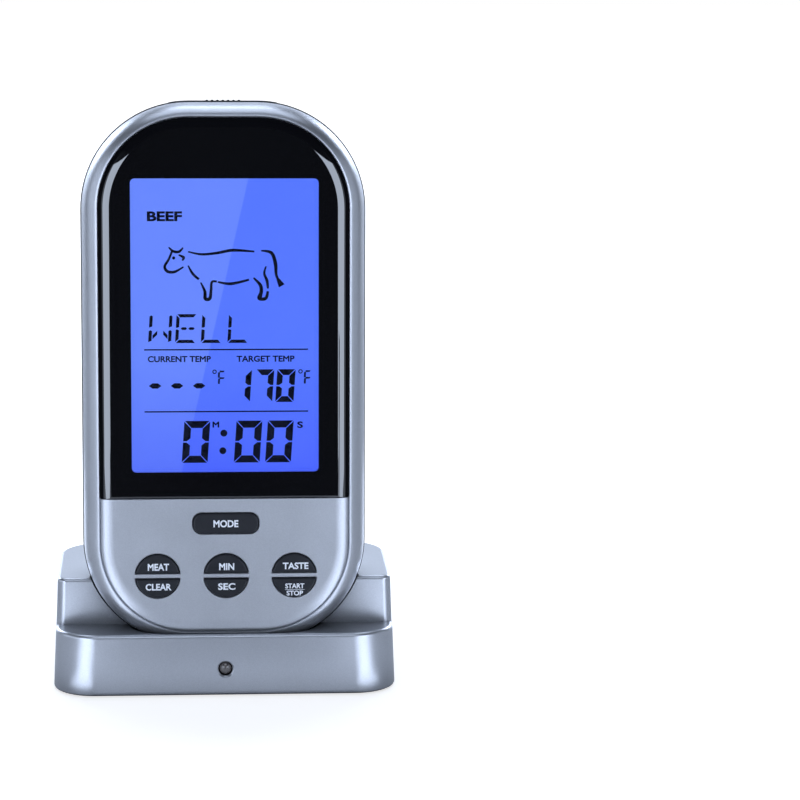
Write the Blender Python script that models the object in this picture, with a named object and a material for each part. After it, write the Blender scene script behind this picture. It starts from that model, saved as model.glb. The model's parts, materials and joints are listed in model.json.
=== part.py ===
"""A wireless meat thermometer: a handheld receiver with a display, leaning back in its transmitter dock.

Run it in Blender 4.5 (blender --background --python part.py). The scene's unit is the metre and +Z is up.
The origin is at the bottom centre of the dock, +X is to the right seen from the front, and the front
faces -Y. Receiver pieces hang on the empty "receiver_frame": its x is across, its -y is the front, and its z
runs up the receiver's face from the bottom of the outline.
"""

import math

import bmesh
import bpy
from mathutils import Matrix, Vector

MM = 0.001
SHARP_ANGLE = math.radians(40.0)

# Receiver outline at the seam between its two shells
HALF_WIDTH = 32.1 * MM
HEIGHT = 124.0 * MM
CORNER = 24.3 * MM
CORNER_STEPS = 6
SEAM_GAP = 0.15 * MM
WALL = 1.5 * MM

# Where the receiver stands in the dock
LEAN = math.radians(4.0)
RECEIVER_FOOT = Vector((0.0, -10.8 * MM, 9.9 * MM))

# Front shell
FRONT_INSET = 0.25 * MM
BAND_INSET = 3.8 * MM
BAND_DEPTH = 7.5 * MM
FACE_DEPTH = 9.0 * MM
ISLAND_INSET = 3.9 * MM
ISLAND_BEVEL = 3.2 * MM
FRONT_FLOOR = 5.9 * MM
WINDOW_BOTTOM = 34.8 * MM
WINDOW_BACK = 7.5 * MM
GLASS_HALF_WIDTH = 23.6 * MM
GLASS_BOTTOM = 38.5 * MM
GLASS_TOP = 109.5 * MM
GLASS_FRONT = 7.1 * MM
GLASS_BACK = 5.2 * MM
BACKLIGHT_FRONT = 4.9 * MM
BACKLIGHT_BACK = 3.6 * MM
BOARD_INSET = 3.2 * MM
BOARD_FRONT = 3.3 * MM
BOARD_BACK = 2.3 * MM

# Keys: the pill and the three split circles
PILL_CENTRE = (0.2 * MM, 29.1 * MM)
PILL_HALF = (7.35 * MM, 2.3 * MM)
SPLIT_CENTRES = (-15.2 * MM, 0.25 * MM, 15.6 * MM)
SPLIT_CENTRE_Z = 17.15 * MM
SPLIT_RADIUS = 4.95 * MM
SPLIT_BAR = 1.3 * MM
KEY_TOP = 9.5 * MM
KEY_FLANGE_FRONT = 7.1 * MM
KEY_BACK = 6.3 * MM
KEY_GAP = 0.25 * MM
KEY_FLANGE_MARGIN = 0.4 * MM

# Rear shell
REAR_BAND_INSET = 5.3 * MM
REAR_BAND_DEPTH = 6.3 * MM
DOME_INSET = 5.9 * MM
REAR_DEPTH = 12.0 * MM
DOME_SIDE = 5.5 * MM
DOME_TOP = 11.5 * MM
DOME_BOTTOM = 15.0 * MM
DOME_END_CORNER = 19.5 * MM
DOME_END_CORNER_TOP = 15.0 * MM

# Receiver battery bay and its door
BAY_HALF_WIDTH = 12.3 * MM
BAY_BOTTOM = 10.2 * MM
BAY_TOP = 62.2 * MM
BAY_FLOOR = -0.85 * MM
DOOR_HALF_WIDTH = 12.15 * MM
DOOR_BOTTOM = 10.5 * MM
DOOR_TOP = 62.55 * MM
DOOR_THICK = 1.1 * MM
AAA_RADIUS = 5.2 * MM
AAA_LENGTH = 43.5 * MM
AAA_NUB = 1.0 * MM

# Belt clip
CLIP_HALF_WIDTH = 7.2 * MM
CLIP_TIP = 62.9 * MM
CLIP_TOP = 106.3 * MM
CLIP_PIVOT_Z = 95.2 * MM
CLIP_PIVOT_Y = 10.6 * MM
CLIP_OUTER = 13.6 * MM
CLIP_INNER = 12.3 * MM
CLIP_PIN_RADIUS = 0.8 * MM

# Light button on the top edge
BUTTON_HALF_WIDTH = 12.5 * MM
BUTTON_FRONT = 1.1 * MM
BUTTON_BACK = 4.1 * MM
BUTTON_GAP = 0.3 * MM
BUTTON_PROUD = 0.4 * MM

# Dock
DOCK_HALF_WIDTH = 39.0 * MM
DOCK_FRONT = -21.3 * MM
DOCK_BACK = 25.3 * MM
DOCK_FRONT_CORNER = 8.0 * MM
DOCK_BACK_CORNER = 10.0 * MM
STEP_CORNER = 2.0 * MM
DOCK_BOTTOM = 0.4 * MM
LEDGE_Z = 14.4 * MM
DOCK_TOP = 25.2 * MM
DOCK_TAPER = 0.95 / 25.2
STEP_FACE_Y = -10.6 * MM
DOCK_WALL = 1.6 * MM
POCKET_GAP = 0.4 * MM
COVER_BOTTOM = 0.6 * MM
COVER_TOP = 2.1 * MM
LED_Z = 6.5 * MM
LED_RADIUS = 1.5 * MM
JACK_Y = 6.5 * MM
JACK_Z = 18.6 * MM
JACK_RADIUS = 2.1 * MM
DOCK_CELL_Y = (2.3 * MM, 13.0 * MM)
DOCK_CELL_Z = 7.2 * MM
DOCK_CELL_LOW = -22.2 * MM
DOCK_BAY_HALF = 27.8 * MM
DOCK_BAY_FRONT = -3.05 * MM
DOCK_BAY_BACK = 18.35 * MM
DOCK_BAY_TOP = 12.7 * MM


# ---------------------------------------------------------------- scene and materials

for existing in list(bpy.data.objects):
    bpy.data.objects.remove(existing, do_unlink=True)


def material(name, colour, roughness, metallic=0.0):
    made = bpy.data.materials.new(name)
    made.use_nodes = True
    shader = made.node_tree.nodes["Principled BSDF"]
    shader.inputs["Base Color"].default_value = (*colour, 1.0)
    shader.inputs["Roughness"].default_value = roughness
    shader.inputs["Metallic"].default_value = metallic
    made.diffuse_color = (*colour, 1.0)
    return made


SILVER = material("silver_paint", (0.50, 0.53, 0.58), 0.38, 0.6)
GUNMETAL = material("gunmetal_plastic", (0.06, 0.065, 0.075), 0.45, 0.3)
KEY_GREY = material("key_plastic", (0.03, 0.032, 0.036), 0.5)
GLOSS_BLACK = material("window_plastic", (0.01, 0.01, 0.012), 0.06)
LCD_BLUE = material("lcd_glass", (0.12, 0.28, 0.85), 0.15)
DIFFUSER = material("light_guide", (0.75, 0.85, 1.0), 0.4)
BOARD_GREEN = material("circuit_board", (0.03, 0.22, 0.10), 0.5)
RUBBER = material("silicone_rubber", (0.12, 0.12, 0.13), 0.8)
STEEL = material("plated_steel", (0.62, 0.62, 0.62), 0.3, 1.0)
BRASS = material("plated_brass", (0.75, 0.62, 0.32), 0.3, 1.0)
CELL_WRAP = material("battery_wrap", (0.10, 0.32, 0.16), 0.35)
BLACK_PLASTIC = material("black_plastic", (0.02, 0.02, 0.022), 0.5)
WHITE_PLASTIC = material("white_plastic", (0.8, 0.8, 0.78), 0.5)
SMOKED = material("smoked_lens", (0.08, 0.07, 0.07), 0.15)

receiver_frame = bpy.data.objects.new("receiver_frame", None)
bpy.context.scene.collection.objects.link(receiver_frame)
receiver_frame.location = RECEIVER_FOOT
receiver_frame.rotation_euler = (-LEAN, 0.0, 0.0)
bpy.context.view_layer.update()


# ---------------------------------------------------------------- modelling helpers


def finish(mesh_builder, name, surface, parent=None):
    """Turns a bmesh into a linked object with outward faces and its own material."""
    bmesh.ops.remove_doubles(mesh_builder, verts=mesh_builder.verts, dist=1e-7)
    bmesh.ops.recalc_face_normals(mesh_builder, faces=mesh_builder.faces)
    mesh = bpy.data.meshes.new(name)
    mesh_builder.to_mesh(mesh)
    mesh_builder.free()
    mesh.shade_smooth()
    mesh.set_sharp_from_angle(angle=SHARP_ANGLE)
    made = bpy.data.objects.new(name, mesh)
    bpy.context.scene.collection.objects.link(made)
    if surface is not None:
        mesh.materials.append(surface)
    made.parent = parent
    return made


def join_rings(mesh_builder, rings):
    """Skins a list of point rings of equal length, with a flat face on the first and the last."""
    rows = [[mesh_builder.verts.new(point) for point in ring] for ring in rings]
    count = len(rows[0])
    for lower, upper in zip(rows, rows[1:]):
        for index in range(count):
            after = (index + 1) % count
            mesh_builder.faces.new((lower[index], lower[after], upper[after], upper[index]))
    mesh_builder.faces.new(list(reversed(rows[0])))
    mesh_builder.faces.new(rows[-1])


def loft(name, rings, surface, parent=None):
    mesh_builder = bmesh.new()
    join_rings(mesh_builder, rings)
    return finish(mesh_builder, name, surface, parent)


def corner_arcs(centres, steps):
    """Points of four quarter circles, given as (x, y, radius), anticlockwise from the +x +y corner."""
    points = []
    for quarter, (x, y, radius) in enumerate(centres):
        for step in range(steps + 1):
            angle = math.pi / 2 * (quarter + step / steps)
            points.append((x + radius * math.cos(angle), y + radius * math.sin(angle)))
    return points


def rounded_rectangle(low, high, radius, steps=3):
    (x0, y0), (x1, y1) = low, high
    r = radius
    centres = [(x1 - r, y1 - r, r), (x0 + r, y1 - r, r), (x0 + r, y0 + r, r), (x1 - r, y0 + r, r)]
    return corner_arcs(centres, steps)


def face_ring(side_inset, y, bottom_inset=None, top_inset=None, bottom_radius=None, top_radius=None):
    """The receiver's outline moved in by the insets, as a ring of points at depth y."""
    bottom_inset = side_inset if bottom_inset is None else bottom_inset
    top_inset = side_inset if top_inset is None else top_inset
    half = HALF_WIDTH - side_inset
    low = bottom_inset
    high = HEIGHT - top_inset
    rb = CORNER - side_inset if bottom_radius is None else bottom_radius
    rt = CORNER - side_inset if top_radius is None else top_radius
    centres = [(half - rt, high - rt, rt), (rt - half, high - rt, rt),
               (rb - half, low + rb, rb), (half - rb, low + rb, rb)]
    return [(x, y, z) for x, z in corner_arcs(centres, CORNER_STEPS)]


def front_outer_rings(outward=0.0):
    """From the seam to the flat face, moved outward by the given distance."""
    rings = []
    for step in range(6):
        angle = math.radians(80.0) * step / 5
        inset = FRONT_INSET + (BAND_INSET - FRONT_INSET) * (1 - math.cos(angle))
        rings.append(face_ring(inset - outward, -SEAM_GAP - (BAND_DEPTH + outward) * math.sin(angle)))
    for step in range(1, 5):
        angle = math.pi / 2 * step / 4
        inset = ISLAND_INSET + ISLAND_BEVEL * (1 - math.cos(angle))
        depth = BAND_DEPTH + (FACE_DEPTH - BAND_DEPTH) * math.sin(angle)
        rings.append(face_ring(inset - outward, -depth - outward))
    return rings


def rear_outer_rings(inward=0.0, seam_y=SEAM_GAP):
    """From the seam over the band and the dome to the flat back, moved inward by the given distance."""
    rings = []
    for step in range(6):
        angle = math.radians(82.0) * step / 5
        inset = REAR_BAND_INSET * (1 - math.cos(angle))
        depth = (REAR_BAND_DEPTH - inward - seam_y) * math.sin(angle)
        rings.append(face_ring(inset + inward, seam_y + depth))
    for step in range(1, 7):
        angle = math.pi / 2 * step / 6
        share = 1 - math.cos(angle)
        depth = REAR_BAND_DEPTH + (REAR_DEPTH - REAR_BAND_DEPTH) * math.sin(angle)
        start_radius = CORNER - DOME_INSET - inward
        bottom_radius = start_radius + (DOME_END_CORNER - inward - start_radius) * share
        top_radius = start_radius + (DOME_END_CORNER_TOP - inward - start_radius) * share
        rings.append(face_ring(DOME_INSET + inward + DOME_SIDE * share, depth - inward,
                               DOME_INSET + inward + DOME_BOTTOM * share,
                               DOME_INSET + inward + DOME_TOP * share,
                               bottom_radius, top_radius))
    return rings


def receiver_envelope(name, outward):
    """The whole receiver's outside as one solid, moved outward: the shape of its pocket."""
    rings = list(reversed(front_outer_rings(outward))) + rear_outer_rings(-outward, SEAM_GAP)
    return loft(name, rings, None, receiver_frame)


def prism(name, outline, direction, low, high, surface, parent=None):
    """A flat outline pushed through from low to high along x, y or z."""
    def place(a, b, along):
        return {"x": (along, a, b), "y": (a, along, b), "z": (a, b, along)}[direction]

    rings = [[place(a, b, along) for a, b in outline] for along in (low, high)]
    return loft(name, rings, surface, parent)


def box(name, low, high, surface, parent=None, radius=0.0, direction="z", steps=2):
    """A block between two corners. Its four edges along the direction are rounded when a radius is given."""
    axis = "xyz".index(direction)
    a, b = [index for index in range(3) if index != axis]
    if radius:
        outline = rounded_rectangle((low[a], low[b]), (high[a], high[b]), radius, steps)
    else:
        outline = [(low[a], low[b]), (high[a], low[b]), (high[a], high[b]), (low[a], high[b])]
    return prism(name, outline, direction, low[axis], high[axis], surface, parent)


def circle(x, y, radius, sides=16):
    turns = (2 * math.pi * index / sides for index in range(sides))
    return [(x + radius * math.cos(turn), y + radius * math.sin(turn)) for turn in turns]


def cylinder(name, centre, radius, direction, low, high, surface, parent=None, sides=16):
    return prism(name, circle(*centre, radius, sides), direction, low, high, surface, parent)


def turned(name, centre, direction, profile, surface, parent=None, sides=16):
    """A round piece from (radius, distance along the axis) pairs, closed by flat ends."""
    def place(a, b, along):
        return {"x": (along, a, b), "y": (a, along, b), "z": (a, b, along)}[direction]

    rings = [[place(a, b, along) for a, b in circle(*centre, radius, sides)] for radius, along in profile]
    return loft(name, rings, surface, parent)


def tube_along(name, points, radius, sides, surface, parent=None):
    """A wire of round section along a list of points."""
    rings = []
    points = [Vector(point) for point in points]
    normal = (points[1] - points[0]).orthogonal().normalized()
    for index, point in enumerate(points):
        before = points[max(index - 1, 0)]
        after = points[min(index + 1, len(points) - 1)]
        tangent = (after - before).normalized()
        normal = (normal - tangent * normal.dot(tangent)).normalized()
        side = tangent.cross(normal)
        turns = (2 * math.pi * step / sides for step in range(sides))
        rings.append([point + radius * (normal * math.cos(t) + side * math.sin(t)) for t in turns])
    return loft(name, rings, surface, parent)


def cut(target, cutters, operation="DIFFERENCE"):
    """Applies each cutter to the target now, then removes the cutter."""
    for cutter in cutters if isinstance(cutters, (list, tuple)) else [cutters]:
        cutter.hide_render = True
        cutter.display_type = "WIRE"
        modifier = target.modifiers.new("cut", "BOOLEAN")
        modifier.operation = operation
        modifier.solver = "EXACT"
        modifier.object = cutter
        bpy.context.view_layer.update()
        evaluated = target.evaluated_get(bpy.context.evaluated_depsgraph_get())
        result = bpy.data.meshes.new_from_object(evaluated)
        target.modifiers.remove(modifier)
        target.data = result
        bpy.data.objects.remove(cutter, do_unlink=True)
    return target


def join(target, additions):
    return cut(target, additions, "UNION")


def tidy(target):
    """Merges the slivers a cut leaves, and shades round stretches smooth."""
    mesh_builder = bmesh.new()
    mesh_builder.from_mesh(target.data)
    bmesh.ops.dissolve_degenerate(mesh_builder, dist=1e-6, edges=mesh_builder.edges)
    mesh_builder.to_mesh(target.data)
    mesh_builder.free()
    target.data.shade_smooth()
    target.data.set_sharp_from_angle(angle=SHARP_ANGLE)
    return target


# ---------------------------------------------------------------- receiver: front shell and window


def key_outlines(grow):
    """Outlines of the seven keys, by name, grown by a margin: the pill, then three split circles."""
    outlines = {}
    px, pz = PILL_CENTRE
    hx, hz = PILL_HALF[0] + grow, PILL_HALF[1] + grow
    outlines["mode_key"] = rounded_rectangle((px - hx, pz - hz), (px + hx, pz + hz), hz * 0.85, 4)
    names = (("meat_key", "clear_key"), ("min_key", "sec_key"), ("taste_key", "start_stop_key"))
    for centre_x, pair in zip(SPLIT_CENTRES, names):
        for name, side in zip(pair, (1, -1)):
            radius = SPLIT_RADIUS + grow
            flat = SPLIT_BAR / 2 - grow
            start = math.asin(flat / radius)
            points = []
            for step in range(11):
                angle = start + (math.pi - 2 * start) * step / 10
                points.append((centre_x + radius * math.cos(angle),
                               SPLIT_CENTRE_Z + side * radius * math.sin(angle)))
            outlines[name] = points
    return outlines


def boss_cylinders(positions, radius, low, high, direction, parent, sides=10):
    return [cylinder("boss", place, radius, direction, low, high, None, parent, sides) for place in positions]


PCB_SCREWS = [(x * MM, z * MM) for x in (-27.2, 27.2) for z in (45.0, 95.0)]


def make_front_shell():
    inner = [face_ring(4.5 * MM, -FRONT_FLOOR), face_ring(3.0 * MM, -4.8 * MM),
             face_ring(1.95 * MM, -2.5 * MM), face_ring(FRONT_INSET + WALL, -SEAM_GAP)]
    shell = loft("front_shell", inner + front_outer_rings(), SILVER, receiver_frame)
    join(shell, boss_cylinders(PCB_SCREWS, 1.5 * MM, -6.6 * MM, -3.6 * MM, "y", receiver_frame))
    pocket = loft("pocket", [face_ring(3.6 * MM, y) for y in (-12 * MM, -7.2 * MM)], None, receiver_frame)
    keep_low = box("keep", (-50 * MM, -20 * MM, -10 * MM), (50 * MM, 0, WINDOW_BOTTOM - 0.2 * MM),
                   None, receiver_frame)
    cut(pocket, keep_low)
    cut(shell, pocket)
    half = GLASS_HALF_WIDTH + 0.3 * MM
    cut(shell, box("aperture", (-half, -20 * MM, GLASS_BOTTOM - 0.3 * MM), (half, 0, GLASS_TOP + 0.3 * MM),
                   None, receiver_frame, 1.5 * MM, "y"))
    cut(shell, box("key_well", (-23.5 * MM, -7.4 * MM, 9.5 * MM), (23.5 * MM, -4 * MM, 33.6 * MM),
                   None, receiver_frame, 6 * MM, "y", 4))
    for outline in key_outlines(KEY_GAP).values():
        cut(shell, prism("hole", outline, "y", -12 * MM, -3 * MM, None, receiver_frame))
    cut(shell, boss_cylinders(PCB_SCREWS, 0.85 * MM, -5.4 * MM, 0.0, "y", receiver_frame, 8))
    return tidy(shell)


def make_window():
    rings = [face_ring(ISLAND_INSET, -WINDOW_BACK)]
    for step in range(0, 5):
        angle = math.pi / 2 * step / 4
        inset = ISLAND_INSET + ISLAND_BEVEL * (1 - math.cos(angle))
        depth = BAND_DEPTH + 0.1 * MM + (FACE_DEPTH - BAND_DEPTH - 0.1 * MM) * math.sin(angle)
        rings.append(face_ring(inset, -depth))
    window = loft("display_window", rings, GLOSS_BLACK, receiver_frame)
    cut(window, box("below", (-50 * MM, -20 * MM, -10 * MM), (50 * MM, 0, WINDOW_BOTTOM + 0.1 * MM),
                    None, receiver_frame))
    return tidy(window)


def make_keys():
    outers = key_outlines(0.0)
    flanges = key_outlines(KEY_FLANGE_MARGIN)
    for name, outline in outers.items():
        middle_x = sum(x for x, _ in outline) / len(outline)
        middle_z = sum(z for _, z in outline) / len(outline)

        def ring(points, y, shrink=1.0):
            return [(x + (middle_x - x) * (1 - shrink), y, z + (middle_z - z) * (1 - shrink))
                    for x, z in points]

        rings = [ring(outline, -KEY_TOP, 0.93), ring(outline, -KEY_TOP + 0.25 * MM),
                 ring(outline, -KEY_FLANGE_FRONT - 0.1 * MM), ring(flanges[name], -KEY_FLANGE_FRONT),
                 ring(flanges[name], -KEY_BACK)]
        loft(name, rings, KEY_GREY, receiver_frame)


# ---------------------------------------------------------------- receiver: rear shell, door, clip and button


SWITCH_AT = (-18.35 * MM, 52.4 * MM)
RESET_AT = (18.3 * MM, 54.15 * MM)
VENT_X = 19.6 * MM
VENT_Z = (91.1 * MM, 86.0 * MM, 80.9 * MM, 40.3 * MM, 35.2 * MM, 30.1 * MM)


def ellipse(x, z, half_x, half_z, sides=12):
    turns = (2 * math.pi * (index + 0.5) / sides for index in range(sides))
    return [(x + half_x * math.cos(turn), z + half_z * math.sin(turn)) for turn in turns]


def make_rear_shell():
    shell = loft("rear_shell", list(reversed(rear_outer_rings(WALL))) + rear_outer_rings(), GUNMETAL,
                 receiver_frame)
    tub = box("tub", (-13.4 * MM, -1.95 * MM, 9.0 * MM), (13.4 * MM, 7.6 * MM, 63.4 * MM), None,
              receiver_frame)
    rail = box("rail", (-13.4 * MM, 7.0 * MM, 16.0 * MM), (13.4 * MM, 11.0 * MM, 63.4 * MM), None,
               receiver_frame)
    recess_block = box("block", (-10.6 * MM, 6.4 * MM, 89.0 * MM), (10.6 * MM, 11.0 * MM, 108.6 * MM), None,
                       receiver_frame)
    join(shell, [tub, rail, recess_block])
    bay = box("bay", (-BAY_HALF_WIDTH, BAY_FLOOR, BAY_BOTTOM), (BAY_HALF_WIDTH, 20 * MM, BAY_TOP), None,
              receiver_frame)
    opening = box("opening", (-12.45 * MM, 10.45 * MM, BAY_BOTTOM), (12.45 * MM, 20 * MM, 62.85 * MM), None,
                  receiver_frame)
    low_lip = box("lip", (-12.45 * MM, 8.2 * MM, 4.0 * MM), (12.45 * MM, 20 * MM, 18.0 * MM), None,
                  receiver_frame)
    cut(shell, [bay, opening, low_lip])
    recess = box("recess", (-7.7 * MM, 7.6 * MM, 91.2 * MM), (7.7 * MM, 20 * MM, 107.2 * MM), None,
                 receiver_frame, 0.8 * MM, "y")
    ears = box("ears", (-9.2 * MM, 8.4 * MM, 91.2 * MM), (9.2 * MM, 20 * MM, 99.2 * MM), None,
               receiver_frame)
    pin_hole = cylinder("pin_hole", (CLIP_PIVOT_Y, CLIP_PIVOT_Z), CLIP_PIN_RADIUS + 0.12 * MM, "x",
                        -10.2 * MM, 10.2 * MM, None, receiver_frame, 12)
    cut(shell, [recess, ears, pin_hole])
    switch_x, switch_z = SWITCH_AT
    cut(shell, box("slot", (switch_x - 0.95 * MM, 5 * MM, 50.7 * MM),
                   (switch_x + 0.95 * MM, 20 * MM, 55.4 * MM), None, receiver_frame))
    cut(shell, cylinder("reset_hole", RESET_AT, 1.1 * MM, "y", 5 * MM, 20 * MM, None, receiver_frame, 12))
    for side in (-1, 1):
        for z in VENT_Z:
            cut(shell, prism("vent", ellipse(side * VENT_X, z, 2.7 * MM, 1.4 * MM), "y", 11.4 * MM, 20 * MM,
                             None, receiver_frame))
            cut(shell, prism("slit", ellipse(side * VENT_X, z, 1.9 * MM, 0.6 * MM, 8), "y", 5 * MM, 20 * MM,
                             None, receiver_frame))
    half = BUTTON_HALF_WIDTH + BUTTON_GAP
    cut(shell, box("light_hole", (-half, BUTTON_FRONT - BUTTON_GAP, 110 * MM),
                   (half, BUTTON_BACK + BUTTON_GAP, 140 * MM), None, receiver_frame, 1.2 * MM, "z"))
    return tidy(shell)


def make_battery_door():
    door = loft("receiver_battery_door", list(reversed(rear_outer_rings(DOOR_THICK))) + rear_outer_rings(),
                GUNMETAL, receiver_frame)
    window = box("door_area", (-DOOR_HALF_WIDTH, 8.55 * MM, DOOR_BOTTOM),
                 (DOOR_HALF_WIDTH, 20 * MM, DOOR_TOP), None, receiver_frame, 0.6 * MM, "y")
    cut(door, window, "INTERSECT")
    # The engraved arrow that shows which way the door slides
    arrow = [(-2.6 * MM, 56.6 * MM), (2.6 * MM, 56.6 * MM), (0.0, 54.0 * MM)]
    cut(door, prism("arrow", arrow, "y", 11.75 * MM, 20 * MM, None, receiver_frame))
    return tidy(door)


def clip_outline():
    """The clip seen from behind: square shoulders at the top, a round tip at the bottom."""
    half = CLIP_HALF_WIDTH
    tip_start = 69.0 * MM
    points = [(half, 91.6 * MM), (-half, 91.6 * MM), (-half, tip_start)]
    for step in range(1, 8):
        angle = math.pi * step / 8
        drop = (tip_start - CLIP_TIP) * math.sin(angle) ** 0.8
        points.append((-half * math.cos(angle), tip_start - drop))
    points.append((half, tip_start))
    return points


def make_clip():
    """A press lever: its top end goes in, and its tip lifts off the back."""
    clip = prism("belt_clip", clip_outline(), "y", CLIP_INNER, CLIP_OUTER, GUNMETAL, receiver_frame)
    lever_side = [(CLIP_OUTER, 90.4 * MM), (CLIP_OUTER, 96.6 * MM), (12.7 * MM, 100.5 * MM),
                  (12.2 * MM, 104.2 * MM), (11.9 * MM, 105.6 * MM), (11.0 * MM, CLIP_TOP),
                  (10.2 * MM, 105.6 * MM), (10.2 * MM, 104.2 * MM), (11.0 * MM, 101.0 * MM),
                  (11.6 * MM, 98.6 * MM), (CLIP_INNER, 96.4 * MM), (CLIP_INNER, 90.4 * MM)]
    lever = prism("lever", lever_side, "x", -CLIP_HALF_WIDTH, CLIP_HALF_WIDTH, None, receiver_frame)
    knuckles = []
    for low, high in ((-7.2, -3.6), (3.6, 7.2)):
        knuckles.append(cylinder("knuckle", (CLIP_PIVOT_Y, CLIP_PIVOT_Z), 1.9 * MM, "x", low * MM, high * MM,
                                 None, receiver_frame, 16))
    join(clip, [lever] + knuckles)
    cut(clip, cylinder("bore", (CLIP_PIVOT_Y, CLIP_PIVOT_Z), CLIP_PIN_RADIUS + 0.1 * MM, "x", -9 * MM, 9 * MM,
                       None, receiver_frame, 12))
    pivot = Vector((0.0, CLIP_PIVOT_Y, CLIP_PIVOT_Z))
    clip.data.transform(Matrix.Translation(-pivot))
    clip.location = pivot
    return tidy(clip)


def make_clip_hardware():
    cylinder("clip_pin", (CLIP_PIVOT_Y, CLIP_PIVOT_Z), CLIP_PIN_RADIUS, "x", -10.0 * MM, 10.0 * MM, STEEL,
             receiver_frame, 12)
    coil_radius = 1.2 * MM
    turns, steps = 4, 10
    points = [(-2.6 * MM, CLIP_PIVOT_Y - 2.6 * MM, CLIP_PIVOT_Z + 6.0 * MM),
              (-2.6 * MM, CLIP_PIVOT_Y - 1.9 * MM, CLIP_PIVOT_Z + 3.0 * MM)]
    for index in range(turns * steps + 1):
        angle = math.pi + 2 * math.pi * index / steps
        x = -2.6 * MM + 5.2 * MM * index / (turns * steps)
        points.append((x, CLIP_PIVOT_Y + coil_radius * math.cos(angle),
                       CLIP_PIVOT_Z - coil_radius * math.sin(angle)))
    points.append((2.6 * MM, CLIP_PIVOT_Y - 0.8 * MM, CLIP_PIVOT_Z + 3.0 * MM))
    points.append((2.6 * MM, CLIP_PIVOT_Y - 0.2 * MM, CLIP_PIVOT_Z + 5.2 * MM))
    tube_along("clip_spring", points, 0.25 * MM, 6, STEEL, receiver_frame)


def make_light_button():
    rings = list(reversed(rear_outer_rings(1.9 * MM))) + rear_outer_rings(-BUTTON_PROUD)
    button = loft("light_button", rings, BLACK_PLASTIC, receiver_frame)
    cap_area = box("cap_area", (-BUTTON_HALF_WIDTH, BUTTON_FRONT, 110 * MM),
                   (BUTTON_HALF_WIDTH, BUTTON_BACK, 140 * MM), None, receiver_frame, 1.0 * MM, "z")
    cut(button, cap_area, "INTERSECT")
    flange = box("flange", (-13.2 * MM, 0.5 * MM, 117.2 * MM), (13.2 * MM, 4.0 * MM, 118.4 * MM), None,
                 receiver_frame, 0.8 * MM, "z")
    stem = box("stem", (-2.5 * MM, 1.3 * MM, 117.8 * MM), (2.5 * MM, 3.6 * MM, 122.6 * MM), None,
               receiver_frame)
    join(button, [stem, flange])
    return tidy(button)


def make_receiver_switches():
    switch_x, _ = SWITCH_AT
    knob = box("power_switch_knob", (switch_x - 0.75 * MM, 10.0 * MM, 50.9 * MM),
               (switch_x + 0.75 * MM, 12.2 * MM, 52.9 * MM), BLACK_PLASTIC, receiver_frame, 0.2 * MM, "y", 1)
    join(knob, box("knob_foot", (switch_x - 1.6 * MM, 9.6 * MM, 49.9 * MM),
                   (switch_x + 1.6 * MM, 10.2 * MM, 53.9 * MM), None, receiver_frame))
    box("power_switch_body", (switch_x - 2.6 * MM, 5.4 * MM, 47.0 * MM),
        (switch_x + 2.6 * MM, 9.3 * MM, 58.0 * MM), STEEL, receiver_frame)
    turned("reset_plunger", RESET_AT, "y",
           [(1.6 * MM, 8.6 * MM), (1.6 * MM, 9.1 * MM), (0.85 * MM, 9.2 * MM), (0.85 * MM, 10.7 * MM)],
           BLACK_PLASTIC, receiver_frame, 12)
    x, z = RESET_AT
    box("reset_switch_body", (x - 3 * MM, 4.6 * MM, z - 3 * MM), (x + 3 * MM, 8.1 * MM, z + 3 * MM),
        BLACK_PLASTIC, receiver_frame)
    box("light_switch_body", (-3 * MM, -2.0 * MM, 110.5 * MM), (3 * MM, 2.8 * MM, 116.2 * MM), BLACK_PLASTIC,
        receiver_frame)


# ---------------------------------------------------------------- receiver: inside


def make_display_stack():
    front, back = -BACKLIGHT_FRONT, -BACKLIGHT_BACK
    box("lcd_glass", (-GLASS_HALF_WIDTH, -GLASS_FRONT, GLASS_BOTTOM),
        (GLASS_HALF_WIDTH, -GLASS_BACK, GLASS_TOP), LCD_BLUE, receiver_frame, 1.0 * MM, "y")
    box("lcd_backlight", (-23.2 * MM, front, 41.0 * MM), (23.2 * MM, back, 109.2 * MM), DIFFUSER,
        receiver_frame)
    box("zebra_strip", (-21 * MM, front, 38.8 * MM), (21 * MM, back, 40.4 * MM), RUBBER, receiver_frame)
    holder = box("lcd_holder", (-25.2 * MM, -5.6 * MM, 36.4 * MM), (25.2 * MM, back, 111.4 * MM),
                 WHITE_PLASTIC, receiver_frame, 3.0 * MM, "y")
    cut(holder, box("holder_hole", (-23.9 * MM, -9 * MM, 38.2 * MM), (23.9 * MM, 0, 109.8 * MM), None,
                    receiver_frame, 0.8 * MM, "y"))
    tidy(holder)


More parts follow.
